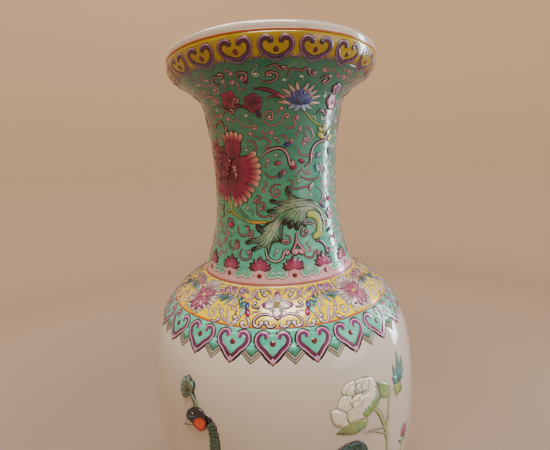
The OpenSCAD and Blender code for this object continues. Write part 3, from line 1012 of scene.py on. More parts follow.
def neck_at(degrees, up=0.0):
    """A place on the neck: degrees from the front and mm above the line at its foot."""
    return Spot(degrees, S_NECK + up, ref=NECK_REF)


def tendrils(brush, *paths, width=1.5, colour=(CORAL, PALE_PINK)):
    """Curling stems that end in a spiral and a round bud."""
    for points in paths:
        path = smooth(points)
        way, before = path[-1] - path[-3], path[-3] - path[-6]
        hand = 1 if before[0] * way[1] > before[1] * way[0] else -1
        curl = pen((4.5, 14 * hand, 30 * hand), (3.5, 30 * hand, 62 * hand), at=tuple(path[-1]),
                   heading=heading_of(way))
        path = np.vstack([path[:-1], curl])
        brush.stroke(path, width, list(colour), 0.75, taper=(0.18, 0.04), thin=0.5)
        brush.drop(path[-1], 0.85 * width, colour[-1], 0.75)


def blend(t, stops, colours):
    """Colours at t, which run evenly between those given at the stops."""
    return np.column_stack([np.interp(t, stops, [c[k] for c in colours]) for k in range(3)])


def fringed(brush, at, a, length, spread, lobes):
    """One fringed petal: ruby, streaked, with a row of pale finger tips."""
    def tone(xy, _):
        r = np.linalg.norm(xy - np.array(at), axis=1) / length
        return blend(r, [0.0, 0.4, 0.72, 0.9, 1.0], [DEEP_RUBY, DARK_RUBY, RUBY, ROSE, BLUSH])
    brush.shape(put(fan(length, spread, lobes, waist=0.24), a, at), tone, 0.8, grid=1.5)
    for k in range(lobes):
        turn = a + spread * (0.5 - (k + 0.5) / lobes)
        root = ahead(at, turn, 0.6 * length)
        brush.grow(root, turn, 0.38 * length, 0.19 * length, (RUBY, CREAM), 2.6, 0.55, 1.4, point=0.3,
                   fullness=0.66, root=0.1)
        brush.hair(put([(0, 0.4 * length), (0, 0.9 * length)], turn, at), 0.5, ROSE)
    for k in range(1, lobes):
        turn = a + spread * (0.5 - k / lobes)
        brush.hair(put([(0, 0.3 * length), (0, 0.84 * length)], turn, at), 0.8, PLUM)
    brush.h += 0.03


def peony(brush):
    """Great ruby peony with fringed, cream-tipped petals, centred at its own origin."""
    backing = lobe([(0, 20), (10, 17), (20, 6), (18, -10), (8, -20), (0, -22)])
    brush.shape(backing, DEEP_RUBY, 0.6, grid=3)
    for petal_form in (((-8, 6), 122, 24, 60, 4), ((-14, 0), 176, 22, 64, 5), ((-8, -8), 222, 24, 62, 5),
                       ((0, -10), 258, 25, 56, 4), ((12, 6), 84, 27, 62, 5), ((8, -9), 306, 31, 62, 5),
                       ((10, -4), 2, 33, 66, 6)):
        fringed(brush, *petal_form)
    brush.h += 0.05
    for radius, count, first, tip in ((15, 7, 10, ROSE), (11.5, 6, 35, RUBY), (8.5, 5, 0, ROSE),
                                      (5.5, 4, 20, RUBY)):
        for k in range(count):
            a = first + 360 / count * k
            at = (-4 + 0.16 * radius * math.sin(3 * k), 1 + 0.16 * radius * math.cos(4 * k))
            shape = fan(radius, 400 / count, 3, depth=0.3)
            brush.shape(put(shape, a, at), to_tip(DEEP_RUBY, tip, radius, 1.6, at), 0.8, grid=1.5)
    for at, a in (((11, -6), 35), ((14, -12), 70), ((10, 0), -10)):
        brush.grow(at, a, 7, 4, (RUBY, BLUSH), 1.2, point=0.4, fullness=0.65)


def leaf_stroke(brush, *points, width=3.2, colour=(BLACK_GREEN, MINT), streak=WHITE):
    """One brush stroke of a leaf, from one colour through green to the other, with a light streak."""
    path = smooth(points)
    shape = lambda t: width * (0.3 + 0.7 * np.sin(math.pi * np.clip(1 - t, 0, 1) ** 1.4 * 0.92 + 0.1))
    line(brush.outline, brush.spots, path, lambda t: shape(t) + 1.0, brush.ink, brush.h, taper=(0.08, 0.2))
    rgb = blend(np.linspace(0, 1, len(path)), [0, 0.22, 0.42, 0.8], [colour[0], colour[0], LEAF, colour[1]])
    painted_line(brush.paint, brush.spots, path, shape, rgb, brush.h + 0.1)
    if streak is not None:
        tail = path[len(path) // 3:]
        line(brush.paint, brush.spots, tail, 0.18 * width, streak, brush.h + 0.18)
    brush.h += brush.lift


def painted_line(coat, spots, path, width, rgb, h):
    """A brush line whose colour is given at every point and which narrows only at its start."""
    n = len(path)
    t = np.linspace(0, 1, n)
    w = width(t) * np.clip(t / 0.1, 0.35, 1)
    xy = np.vstack([path + left_of(path) * (w * k)[:, None] for k in (-0.5, -0.25, 0.25, 0.5)])
    hh = np.concatenate([np.full(n, k) for k in (UNDER, h, h, UNDER)])
    i = np.arange(n - 1)
    quads = [np.column_stack([a * n + i, a * n + i + 1, b * n + i + 1, b * n + i])
             for a, b in ((0, 1), (1, 2), (2, 3), (3, 0))]
    quads.append(np.array([[0, n, 2 * n, 3 * n], [4 * n - 1, 3 * n - 1, 2 * n - 1, n - 1]]))
    coat.add(spots, xy, hh, np.vstack([rgb] * 4), quads)


LEAF_TIPS = (((-27, 41), (-18, 43), (-9, 49), (-2, 59)), ((-21, 35), (-13, 39), (-6, 47), (0, 59)),
             ((-9.6, 32.5), (-8.4, 40), (-5, 48), (1, 60)), ((2.4, 43), (0, 47), (-1, 54), (3, 63)),
             ((-16, 54), (-12, 51.6), (-7, 55), (0, 62)), ((-6, 70.5), (0, 71), (8, 73), (20, 75.6)),
             ((-3, 79.4), (5, 77.6), (14, 77), (28, 76)), ((11.5, 88), (12, 82), (17, 78.6), (30, 77)),
             ((8, 60), (11, 64), (18, 70), (31, 73.6)), ((12.6, 57.6), (15.6, 63), (22, 69.4), (34, 73)),
             ((18.4, 56), (20, 62), (26, 68.4), (38, 72)), ((25.5, 56.5), (24.6, 61.6), (29, 67), (40, 70)))
BROAD_TIPS = (4, 7, 9, 10)  # places in LEAF_TIPS


def acanthus(brush):
    """The great curling leaf, in neck places: mm round from the middle, mm above the neck line."""
    for mass in ([(4, 64), (-6, 61), (-14, 56), (-19, 52.6), (-15, 48), (-27, 43), (-27.6, 40), (-18, 40),
                  (-22, 35.6), (-20, 33.6), (-12, 37), (-11, 32), (-8, 31.4), (-5, 40), (2, 41.6),
                  (4, 46), (5, 56)],
                 [(-5, 58), (-2, 68), (-7, 70), (-2, 74), (3, 75), (-4, 78.6), (4, 80.4), (11, 80), (9, 87),
                  (13, 90), (17, 84), (24, 80.6), (38, 78), (46, 71), (44, 65), (36, 68), (30, 64),
                  (28, 56), (24, 56), (19, 54.6), (15, 56), (12, 56), (7, 58), (8, 62), (2, 57)]):
        brush.shape(smooth(mass, closed=True), by_edge(BLACK_GREEN, LEAF_WASH, 7, 0.75), 0.8, grid=2.6)
    for k, points in enumerate(LEAF_TIPS):
        path = smooth(points)
        a = heading_of(path[0] - path[2])
        for shift, width in ((2.1, 0.8), (0.7, 0.5), (-1.0, 0.7)):
            brush.hair(beside(path, shift)[3:], width, [MINT, WHITE], taper=(0.3, 0.2))
        length, width = (9.5, 5.8) if k in BROAD_TIPS else (8.0, 4.2)
        root = path[min(6, len(path) - 1)]
        brush.grow(root, a, length, width, (DEEP_GREEN, BLACK), 0.8, point=0.4, fullness=0.62, root=0.3)
        brush.hair(put([(-0.16 * width, 0), (-0.2 * width, 0.6 * length)], a, root), 0.5, MINT)
    spine = smooth([(-6, 59), (0, 66), (10, 71.6), (24, 74), (36, 72.4), (44.6, 66.6), (48.4, 57),
                    (46.4, 47.6), (41, 41.4)])
    brush.stroke(spine, 3.0, [LEAF, MINT], 0.6, taper=(0.3, 0.1))
    for shift, colour in ((0.9, WHITE), (-0.6, DEEP_GREEN), (-2.4, MINT), (2.6, MINT)):
        brush.hair(beside(spine, shift)[2:-3], 0.6, colour)
    crescent = smooth([(29, 67.5), (35, 68.5), (42, 64.5), (46, 57), (45.4, 49), (41, 41.5), (34, 40.4),
                       (32, 45.5), (35.4, 47), (38, 50), (38.4, 56), (34.6, 60.6), (29.6, 62)], closed=True)
    brush.shape(crescent, by_edge(LEAF, LIME, 2.0), 0.8)
    for path in ([(31, 65), (38, 64), (42.6, 58), (43, 51), (38, 45)],
                 [(33, 64), (38.6, 61), (41, 56), (41, 50)]):
        brush.hair(smooth(path), 0.7, [LEAF, MINT])
    for points in ([(23, 60), (30, 58.5), (36, 57), (38, 53)], [(24, 57), (31, 56), (35, 54.6), (37, 51)]):
        brush.stroke(smooth(points), 1.2, [LILAC, WHITE], 0.6)


def peony_stem(brush):
    """The long leaves from under the great leaf up to the peony."""
    leaf_stroke(brush, (-6, 61), (-18, 60), (-32, 62), (-44, 68), (-52, 78), (-56, 88), width=4.6,
                colour=(GOLD, LIME), streak=None)
    brush.hair(smooth([(-8, 62), (-20, 61.4), (-33, 64), (-44, 70.5), (-51, 80)]), 0.8, OLIVE)
    leaf_stroke(brush, (-27, 64), (-36, 70), (-44, 79), (-50, 90), width=4.4, colour=(LEAF, MINT))
    leaf_stroke(brush, (-58, 70), (-54, 69), (-48, 72), (-50, 80), width=4.0, colour=(OLIVE, LIME))
    brush.drop((-48, 67), 1.6, GOLD, 0.4)


def lotus(brush, inner=(NAVY, BLUE), outer=(TEAL, lin(214, 178, 170))):
    """Pointed flower seen from the side, growing up from its own origin."""
    for low, length, width in ((2, 20, 4.4), (20, 21, 4.4), (38, 20, 4.4), (56, 20, 4.6), (75, 19, 4.6)):
        for a in (low, 180 - low):
            brush.grow((0, 0), a, length, width, outer, 0.8, 0.62, point=0.8, fullness=0.5)
            brush.hair(put([(0, 0.3 * length), (0, 0.84 * length)], a), 0.6, PURPLE)
    for low, length, width in ((-24, 12, 5.0), (-56, 9, 4.6)):
        for a in (low, 180 - low):
            brush.grow((0, 0), a, length, width, (inner[1], SKY), 0.8, 0.62, point=0.7, fullness=0.5)
    for a, length, width in ((22, 14, 5.0), (158, 14, 5.0), (50, 13.5, 5.4), (130, 13.5, 5.4), (72, 13, 5.4),
                             (108, 13, 5.4), (90, 14.5, 6.0)):
        brush.grow((0, -1), a, length, width, inner, 0.9, 0.62, point=0.7, fullness=0.5)
        brush.hair(put([(0, 2), (0, 0.8 * length)], a, (0, -1)), 0.5, SKY)
    brush.drop((0, 0), 2.2, NAVY)


def rosette(brush, at, radius, root, tip, count, first):
    """A small open flower of count petals."""
    for k in range(count):
        brush.grow(at, first + 360 / count * k, radius, 0.95 * radius, (root, tip), 0.9, 0.6, 1.8,
                   point=0.45, fullness=0.62, root=0.25)
    brush.drop(at, 0.24 * radius, root)


def bud(brush, at, a, length, root, tip, width):
    """A single petal; width is a share of its length."""
    brush.grow(at, a, length, width * length, (root, tip), 0.9, 0.62, 1.8, fullness=0.5, root=0.2)


def neck_scroll(*degrees):
    """The whole scroll of one side of the neck, in mm round from the middle and mm above the line."""
    vine = Brush([neck_at(d) for d in degrees], tendril_paint, tendril_ink, BROWN, base=0.2, lift=0.012)
    tendrils(vine, [(-29, 158), (-30, 152), (-25, 147.6), (-18, 148.6)],
             [(-7, 160), (-8, 153), (-2, 147.4), (6, 149.2), (9, 155)],
             [(-6, 155), (-5, 158.6), (-1, 159), (0, 155.4)],
             [(9, 148), (14, 144.6), (18.6, 147), (18, 152)],
             [(27, 145), (34, 144), (37.4, 138.4), (34, 133), (29, 133.6)],
             [(27, 141), (30, 139.6), (31.6, 137)], [(22, 127), (23.6, 122), (30, 120), (36, 122)],
             [(5, 138.6), (10, 137.6), (12.4, 133)], [(-14, 136), (-8, 137), (-3.6, 133), (-6.6, 129)],
             [(-25, 134.6), (-19, 134), (-16.4, 128.6), (-20, 124.6)],
             [(-9.4, 107), (-7, 102.6), (0, 101.6), (5.6, 106.6)],
             [(5, 94), (-1, 94.4), (-5.6, 90), (-3, 84.4), (1.6, 83.6), (3, 87)],
             [(11, 99), (17, 96.6), (15, 92), (20, 90), (33, 92)],
             [(24, 101), (33, 98), (43, 98.6), (48, 103), (46, 108)], [(52, 112), (49, 108), (52, 105)],
             [(-19, 85), (-15.4, 84), (-17, 80)], [(-19, 74), (-17.6, 78.4), (-12.6, 78), (-11.4, 74.4)],
             [(-18.6, 74), (-18, 68), (-12, 65), (-5, 66.6)], [(43, 90), (49, 86.6), (50, 80), (46.6, 76)],
             [(55, 85), (58, 80), (56, 76)], [(-39, 56), (-38.4, 49.6), (-33, 46.4), (-27, 48.4)],
             [(-31.6, 56), (-27.6, 55.6), (-27, 51)],
             [(-55, 58), (-52, 62), (-47, 61), (-46, 57)],
             [(-48, 41), (-48.6, 35.6), (-44, 33), (-40, 35.4)],
             [(-42, 42), (-38, 41), (-37, 37)],
             [(-33.6, 34), (-35.6, 28), (-31, 24), (-25.6, 25.4), (-24, 29.4)],
             [(6, 47.6), (10, 45.6), (10.6, 41), (7.4, 39.6)], [(24, 55), (21.6, 49), (23, 45), (27, 46.6)],
             [(22, 30), (23.6, 25.4), (29.6, 24), (32.6, 28)], [(49, 64), (46, 60), (52, 57)],
             [(52, 36), (56, 40), (61, 38)],
             [(-62, 150), (-57, 155), (-50, 154), (-49, 149)], [(-66, 62), (-61, 66), (-64, 71)],
             [(-8, 186), (-3, 183.6), (3, 186), (4, 191), (0.6, 193)], [(-3, 197), (2, 199.6), (5, 196)],
             [(11, 190), (13, 195.6), (19, 194), (23, 196.6), (26, 192)],
             [(-24, 190), (-21, 195), (-16.4, 193.6), (-17, 189.6)],
             [(-40, 186), (-44, 190), (-41, 195), (-36, 193.6)],
             [(36, 188), (40, 191.6), (45, 190), (44, 186)],
             [(-30, 163), (-34, 167), (-32, 171)], [(40, 158), (45, 160.6), (49, 158)],
             [(-47, 160), (-43, 164), (-38, 161)])
    tendrils(vine, [(-12, 119.6), (-7, 124.6), (1, 127.6), (8, 126.4), (12, 121), (13.6, 114)],
             [(29, 110), (35, 114), (35.6, 121), (39, 128.6), (46, 132.6), (53, 133.6)], width=2.4,
             colour=(LILAC, BLUSH))
    tendrils(vine, [(-11, 35), (-9, 27), (-3, 23), (2.6, 25.6), (4.6, 31)], width=2.2, colour=(MINT, BLUSH))
    tendrils(vine, [(16.6, 49), (16, 40), (12.6, 33)], [(16.6, 46), (18, 38), (21.6, 33)], width=3.0,
             colour=(CORAL, BLUSH))
    tendrils(vine, [(35, 39), (40, 38), (45, 33), (45.4, 28)], width=2.6, colour=(CORAL, PURPLE))
    stems = Brush(vine.spots, acanthus_paint, acanthus_ink, BLACK_GREEN, base=0.3)
    stems.stroke(smooth([(20, 162), (27, 159), (34, 152.6), (42, 148.4), (52, 147.6), (64, 149)]), 2.0,
                 [OLIVE, LIME])
    stems.stroke(smooth([(33, 154), (37.6, 155), (39, 151.6)]), 1.4, LIME)
    peony_stem(stems)
    acanthus(stems)
    for form in (((52, 138), 138, 12, BLACK_GREEN, LIME), ((52, 137), 104, 12, BLACK_GREEN, LIME),
                 ((53, 136), 160, 12, GOLD, LIME), ((55, 136), 62, 13, BLACK_GREEN, LIME),
                 ((56, 134), 24, 13, OLIVE, LIME), ((60, 128), -80, 8, BLACK_GREEN, TEAL)):
        bud(stems, *form, width=0.42)
    blooms = Brush(vine.spots, peony_paint, bloom_ink, PLUM, base=0.4)
    rosette(blooms, (-37, 172), 8.6, DEEP_RUBY, RUBY, 5, 60)
    rosette(blooms, (-16, 167), 8.4, PLUM, DARK_RUBY, 6, 20)
    for points, width in (([(12, 170), (4, 174), (-6, 178), (-14, 179)], 3.4),
                          ([(-4, 170), (2, 172), (8, 170)], 2.6),
                          ([(-38, 165), (-30, 166), (-22, 164)], 2.6),
                          ([(-50, 168), (-44, 167), (-38, 166)], 2.4)):
        blooms.stroke(smooth(points), width, [RUBY, DEEP_RUBY], 0.5, taper=(0.6, 0.3))
    for at, a, length, root, tip in (
            ((-12.6, 161), -80, 7, NAVY, PLUM), ((-18, 184), 100, 6, DEEP_RUBY, RUBY),
            ((-0.6, 113.6), 10, 7, DEEP_RUBY, ROSE), ((13.6, 109.4), 6, 7.4, DEEP_RUBY, RUBY),
            ((28.6, 114), 160, 6.6, DEEP_RUBY, RUBY), ((8.6, 130), 8, 6.4, NAVY, BLUE),
            ((4, 105.6), -84, 5.4, NAVY, BLUE), ((41, 119), 20, 8, BLUE, SKY),
            ((42, 112), -70, 8, TEAL, SKY), ((53, 70), 150, 7, NAVY, BLUE),
            ((58.6, 76.6), 10, 8, PURPLE, ROSE), ((51, 46), 14, 19, NAVY, BLUSH),
            ((-53, 56), 8, 9, ROSE, RUBY), ((33.6, 89.6), 50, 7, MINT, LILAC)):
        bud(blooms, at, a, length, root, tip, 0.62 if length < 12 else 0.2)
    rosette(blooms, (60, 63), 6.4, ROSE, BLUSH, 5, 30)
    rosette(blooms, (57.6, 169), 7.6, PURPLE, ROSE, 6, 0)
    rosette(blooms, (58, 182), 5.6, PURPLE, LILAC, 5, 30)
    peony(Brush([neck_at(d - 47.5, 113) for d in degrees], peony_paint, bloom_ink, PLUM, base=0.6))
    lotus(Brush([neck_at(d + 20, 166) for d in degrees], lotus_paint, bloom_ink, BLACK, base=0.5))


def side_scroll(*degrees):
    """The narrow group between the two great scrolls."""
    vine = Brush([neck_at(d) for d in degrees], tendril_paint, tendril_ink, BROWN, base=0.2, lift=0.012)
    for shift in (0, 62, 118):
        for side in (1, -1):
            q = lambda *pts: [(side * x, y + shift + (2 if side > 0 else 0)) for x, y in pts]
            tendrils(vine, q((2, 36), (8, 40), (14, 37), (13, 31), (9, 31)),
                     q((3, 48), (9, 46), (15, 50), (13, 56), (9, 54)), q((14, 44), (19, 42), (20, 36)),
                     q((4, 66), (8, 70), (14, 68), (15, 63)))
    stems = Brush(vine.spots, acanthus_paint, acanthus_ink, BLACK_GREEN, base=0.3)
    for points in ([(0, 30), (3, 46), (-3, 62), (0, 80)], [(0, 98), (-4, 112), (3, 126), (0, 146)]):
        stems.stroke(smooth(points), 2.2, [OLIVE, LIME])
    for y in (44, 60, 112, 128):
        for side in (1, -1):
            leaf_stroke(stems, (side * 11, y + 7), (side * 7, y + 5), (side * 3, y), width=3.8)
            leaf_stroke(stems, (side * 10, y - 2), (side * 6, y + 1), (side * 2, y - 2), width=3.0)
    blooms = Brush(vine.spots, peony_paint, bloom_ink, PLUM, base=0.5)
    rosette(blooms, (0, 88), 10.5, DEEP_RUBY, ROSE, 7, 90)
    rosette(blooms, (0, 88), 6.5, PLUM, BLUSH, 6, 60)
    rosette(blooms, (0, 34), 7.5, PURPLE, LILAC, 6, 90)
    lotus(Brush([neck_at(d, 150) for d in degrees], lotus_paint, bloom_ink, BLACK, base=0.6),
          inner=(PLUM, PURPLE), outer=(BLUSH, CREAM))


def sprinkle(brush, low, high, pitch, sizes, seed, tones, ref=NECK_REF, gap=1):
    """Curled tendrils in the ground that the other paint leaves free, large ones first.
    The ground is kept as square cells of 1.2 mm; gap is how many cells stay free round a curl."""
    pick = random.Random(seed)
    cell = 1.2
    rows, cols = int((high - low) / cell), int(2 * math.pi * ref / cell)
    taken = np.zeros((rows + 1, cols), bool)

    def cells(theta, s):
        i = np.clip(((s - low) / cell).astype(int), 0, rows)
        return i, (theta * ref / cell).astype(int) % cols

    for c in coats:
        for theta, s in zip(c.theta, c.s):
            near = (s > low - 3) & (s < high + 3)
            taken[cells(theta[near], s[near])] = True
    curl = np.vstack([pen((5, 30, 14), (3, 14, 2), step=0.8)[::-1],
                      pen((5, 2, 10), (5, 10, 24), (6.5, 24, 52), heading=-90, step=0.8)[1:]])
    curl = curl - curl.mean(0)
    for size in sizes:
        for s in np.arange(low + 4, high - 3, 0.87 * pitch * size):
            for k in range(int(2 * math.pi * ref / (pitch * size))):
                theta = (k * pitch * size + pick.uniform(-2, 2)) / ref
                s_here = s + pick.uniform(-2, 2)
                for _ in range(6):
                    spot = Spot(math.degrees(theta), s_here, size, pick.uniform(0, 360),
                                pick.random() < 0.5, ref)
                    at = spot(curl)
                    i, j = cells(*at)
                    busy = any(taken[np.clip(i + a, 0, rows), (j + b) % cols].any()
                               for a in range(-gap, gap + 1) for b in range(-gap, gap + 1))
                    if busy or at[1].min() < low + 1 or at[1].max() > high - 1:
                        continue
                    tone = pick.choice(tones)
                    here = Brush([spot], brush.paint, brush.outline, brush.ink, 0.22, 0.012)
                    here.stroke(curl, 1.4 / size**0.7, list(tone), 0.75 / size, taper=(0.12, 0.04), thin=0.5)
                    here.drop(curl[-1], 1.2 / size**0.7, tone[1], 0.7 / size)
                    taken[i, j] = True
                    break


neck_scroll(0, 180)
side_scroll(90, 270)
filler = Brush([], coat("neck_filler_curls", ENAMEL, "pink_enamel"),
               coat("neck_filler_outline", BROWN_INK, "iron_red"), BROWN)
sprinkle(filler, S_NECK + 20, S_MOUTH - 1, 5.4, (1.5, 1.2, 0.95, 0.75, 0.6, 0.48), 7,
         ((CORAL, PALE_PINK), (ROSE, PALE_PINK), (TEAL, MINT)))
between = Brush([], coat("shoulder_filler_curls", ENAMEL, "glaze"),
                coat("shoulder_filler_outline", INK, "iron_red"), BROWN)
sprinkle(between, S_SHOULDER, S_NECK, 6, (0.5, 0.42, 0.36), 9, ((LILAC, SILVER), (PURPLE, LILAC)),
         SHOULDER_REF, 0)


# ---------------------------------------------------------------- peacock, rock and peonies of the body

body_white = coat("body_peony_petals", ENAMEL, "glaze")
body_pink = coat("body_blossoms", ENAMEL, "pink_enamel")
body_green = coat("body_leaves", ENAMEL, "turquoise_enamel")
body_line = coat("body_fine_lines", GREY_INK, "iron_red")
body_ink = coat("body_dark_lines", INK, "iron_red")
bird_ink = coat("peacock_outline", INK, "iron_red")
rock_ink = coat("rock_outline", INK, "iron_red")
bird_paint = coat("peacock_feathers", ENAMEL, "turquoise_enamel")
rock_paint = coat("painted_rocks", ENAMEL, "turquoise_enamel")
BODY_REF, S_BELLY, ROCKS_LOW = 139.8, 224.1, -112
STEM, KHAKI, PALE_LEAF = lin(166, 190, 132), lin(112, 110, 74), lin(176, 206, 128)
IVORY, TEAL_WASH, GREY_GREEN = lin(232, 230, 204), lin(104, 168, 172), lin(118, 138, 118)


def body_at(degrees, t=0.0, **kw):
    """A place on the body: degrees from the front and mm above the middle of the picture."""
    return Spot(degrees, S_BELLY + t, ref=BODY_REF, **kw)


# Each petal's outline and how many pleats it has.
PEONY_PETALS = (
    ([(4.0, 13.4), (9.0, 13.7), (15.3, 10.6), (17.8, 4.8), (16.3, -1.9), (12.7, -9.2), (8.9, -14.5),
      (3.0, -3.7)], 0),
    ([(-16.9, 7.4), (-15.4, 12.1), (-11.1, 14.8), (-6.1, 15.2), (-3.1, 13.1), (-3.3, 6.2), (-9.6, 2.3)], 3),
    ([(-4.3, 13.1), (-0.7, 14.5), (3.6, 14.8), (8.0, 13.5), (10.7, 9.9), (9.2, 4.2), (5.1, 2.7),
      (-0.7, 5.2)], 2),
    ([(-13.5, 4.9), (-11.5, 9.0), (-7.6, 12.0), (-4.8, 9.4), (-4.8, 5.4), (-8.5, 1.7)], 1),
    ([(-5.2, 6.5), (-3.1, 10.1), (0.1, 11.1), (1.9, 8.3), (1.7, 3.4), (-2.2, 3.1)], 1),
    ([(-21.7, -3.7), (-20.3, 2.0), (-16.8, 5.4), (-11.5, 4.6), (-7.9, 1.0), (-8.8, -7.9), (-14.8, -9.2)], 4),
    ([(-10.7, -1.5), (-7.2, 1.9), (-2.2, 3.1), (2.5, 1.8), (3.9, -1.9), (0.1, -7.2), (-7.2, -7.0)], 2),
    ([(-27.6, -4.2), (-22.9, -3.5), (-14.8, -8.7), (-13.6, -14.9), (-12.3, -20.2), (-18.7, -20.5),
      (-25.5, -16.1), (-27.7, -9.6)], 0),
    ([(-14.2, -9.0), (-9.7, -7.4), (-6.3, -1.8), (-1.8, -3.3), (-0.8, 0.5), (4.8, 0.7), (10.0, 1.1),
      (16.4, 3.0), (16.7, -3.9), (12.3, -11.1), (7.2, -16.4), (-0.2, -19.2), (-9.1, -19.7),
      (-13.9, -17.0)], 0))


def white_peony(spot, root, tip, heart):
    """Peony bowl seen from the side: plain lower petals, pleated upper ones, with fine khaki lines."""
    brush = Brush([spot], body_white, body_line, KHAKI, base=0.14, lift=0.03)
    for points, pleats in PEONY_PETALS:
        outline = smooth(points, closed=True)
        low, high = outline.min(0), outline.max(0)
        brush.shape(outline, to_tip(root, tip, high[1] - low[1], 1.2, low), 0.9, grid=2.8, dome=0.015)
        for k in range(pleats):
            x = low[0] + (high[0] - low[0]) * (k + 1) / (pleats + 1)
            mid = 0.5 * (low[1] + high[1])
            brush.hair(np.array([(x + 0.6, mid - 3.0), (x, mid + 0.34 * (high[1] - low[1]))]), 0.7)
    for a in (92, 120, 148):
        brush.grow((7.5, -18.5), a, 8, 4.6, (heart, LEAF), 0.8, 0.6, 1.8, point=0.6, fullness=0.5, root=0.3)


def leaf(brush, at, a, length, width=None, tip=LEAF, bend=0.1, rust=0.0):
    """Pointed leaf with a mid rib and side veins; rust is how brown its tip is, from 0 to 1."""
    width = width or 0.52 * length
    brush.grow(at, a, length, width, (PALE_LEAF, tip + (RUST - tip) * rust), 1.1, 0.7, point=0.85,
               fullness=0.42, bend=bend, steps=15)
    rib = np.array([(0, 0), (0.25 * bend * length, 0.5 * length), (0.88 * bend * length, 0.94 * length)])
    brush.hair(put(smooth(rib), a, at), 0.6)
    for t in (0.22, 0.38, 0.54, 0.7):
        for side in (1, -1):
            x, y = bend * t * t * length, t * length
            reach = 0.42 * width * (1 - abs(t - 0.4))
            brush.hair(put([(x, y), (x + side * reach, y + 0.12 * length)], a, at), 0.4)


def leaf_cluster(brush, at, a, length, **kw):
    """Three-part peony leaf."""
    for turn, part in ((48, 0.72), (-48, 0.72), (0, 1.0)):
        leaf(brush, at, a + turn, part * length, **kw)


def stem(brush, *points, width, colour=(STEM, STEM)):
    """A green stem with a fine line down one side."""
    path = smooth(points)
    brush.stroke(path, width, list(colour), 0.55, taper=(0.05, 0.3), thin=0.4)
    brush.hair(beside(path, 0.25 * width)[3:-3], 0.5, OLIVE)


def small_bud(brush, at, a, length, root, tip):
    """A closed bud of three petals."""
    for turn in (26, -26, 0):
        brush.grow(at, a + turn, length, 0.5 * length, (root, tip), 1.0, 0.55, 1.8, fullness=0.55)


def peony_spray(degrees, t=0.0, mirror=False, scale=1.0, colours=(IVORY, WHITE, LIME)):
    """A peony on its stem with leaves and buds, as to the right of the bird."""
    place = body_at(degrees, t, scale=scale, mirror=mirror)
    green = Brush([place], body_green, body_line, OLIVE, base=0.14)
    pink = Brush([place], body_pink, body_ink, PLUM, base=0.2)
    stem(green, (1, 62), (2, 76), (5, 84), (14, 88), width=1.8, colour=(STEM, LILAC))
    stem(green, (10, -96), (3, -60), (5, -20), (3, 6), (-1, 40), (-1, 60), (1, 72), width=5.0)
    stem(green, (-1, 44), (-4, 58), (-7.6, 68), (-11, 75.6), (-16, 80.4), (-22, 80), width=4.6)
    stem(green, (-2, 56), (-9, 60), (-20.6, 63.7), (-30, 65.4), width=1.8, colour=(STEM, LILAC))
    stem(green, (-2, 50), (-10.5, 56.6), (-18.4, 61.4), (-27, 62), width=1.6, colour=(STEM, BLUSH))
    stem(green, (2, -40), (18, -18), (26, 8), (28, 26), width=2.8)
    stem(green, (2, -62), (-16, -44), (-24, -26), width=2.8)
    leaf(green, (-25, 75), 190, 29, 13, rust=0.55)
    leaf(green, (-24, 76), 214, 16, 9)
    leaf(green, (-22, 82), 26, 20, 8, bend=-0.1)
    leaf(green, (2, 84), 112, 22, 14, bend=-0.2, rust=0.3)
    leaf(green, (13, 88), -30, 16, 14, tip=OLIVE)
    leaf_cluster(green, (4, -12), 12, 28, rust=0.3)
    leaf_cluster(green, (1, -30), 168, 28)
    leaf_cluster(green, (4, -74), 20, 30)
    leaf_cluster(green, (0, -58), 196, 26, rust=0.3)
    for at, a, length in (((19, 88), 104, 20), ((22, 88), 84, 28), ((25, 88), 68, 21), ((18, 89), 124, 11)):
        green.grow(at, a, length, 7.4, (TEAL, TEAL_WASH), 1.0, 0.7, point=0.8, fullness=0.4)
        green.hair(put([(0.6, 2), (0, 0.9 * length)], a, at), 0.5)
    pink.stroke(smooth([(24, 22), (26, 32), (29, 42)]), 1.8, [PLUM, DEEP_RUBY], 0.4)
    small_bud(pink, (30, 24), 84, 15, DEEP_RUBY, ROSE)
    leaf(green, (30, 22), 30, 13, 6)
    leaf(green, (30, 22), 150, 13, 6)
    small_bud(pink, (-25, -24), 108, 19, RUBY, BLUSH)
    leaf(green, (-25, -26), 50, 14, 6)
    leaf(green, (-25, -26), 166, 14, 6)
    bloom_x, bloom_y = -29.5 * scale * (-1 if mirror else 1), 97 * scale
    bloom = body_at(degrees + math.degrees(bloom_x / BODY_REF), t + bloom_y, scale=scale, mirror=mirror)
    white_peony(bloom, *colours)


def feather_eye(brush, at, a, size):
    """Round tail feather with its eye."""
    for part, tone in ((1.0, OLIVE), (0.76, LEAF), (0.54, GOLD), (0.38, TEAL), (0.22, NAVY)):
        shape = petal(2.0 * size * part, 1.5 * size * part, point=0.4, fullness=0.58, root=0.3)
        edge_w = 0.5 if tone is OLIVE or tone is GOLD else 0
        brush.shape(put(shape, a, ahead(at, a, (1 - part) * size)), tone, edge_w, grid=2.0)
    for k in range(-3, 4):
        brush.hair(put([(0.18 * k * size, 0.2 * size), (0.3 * k * size, 1.5 * size)], a, at), 0.4)


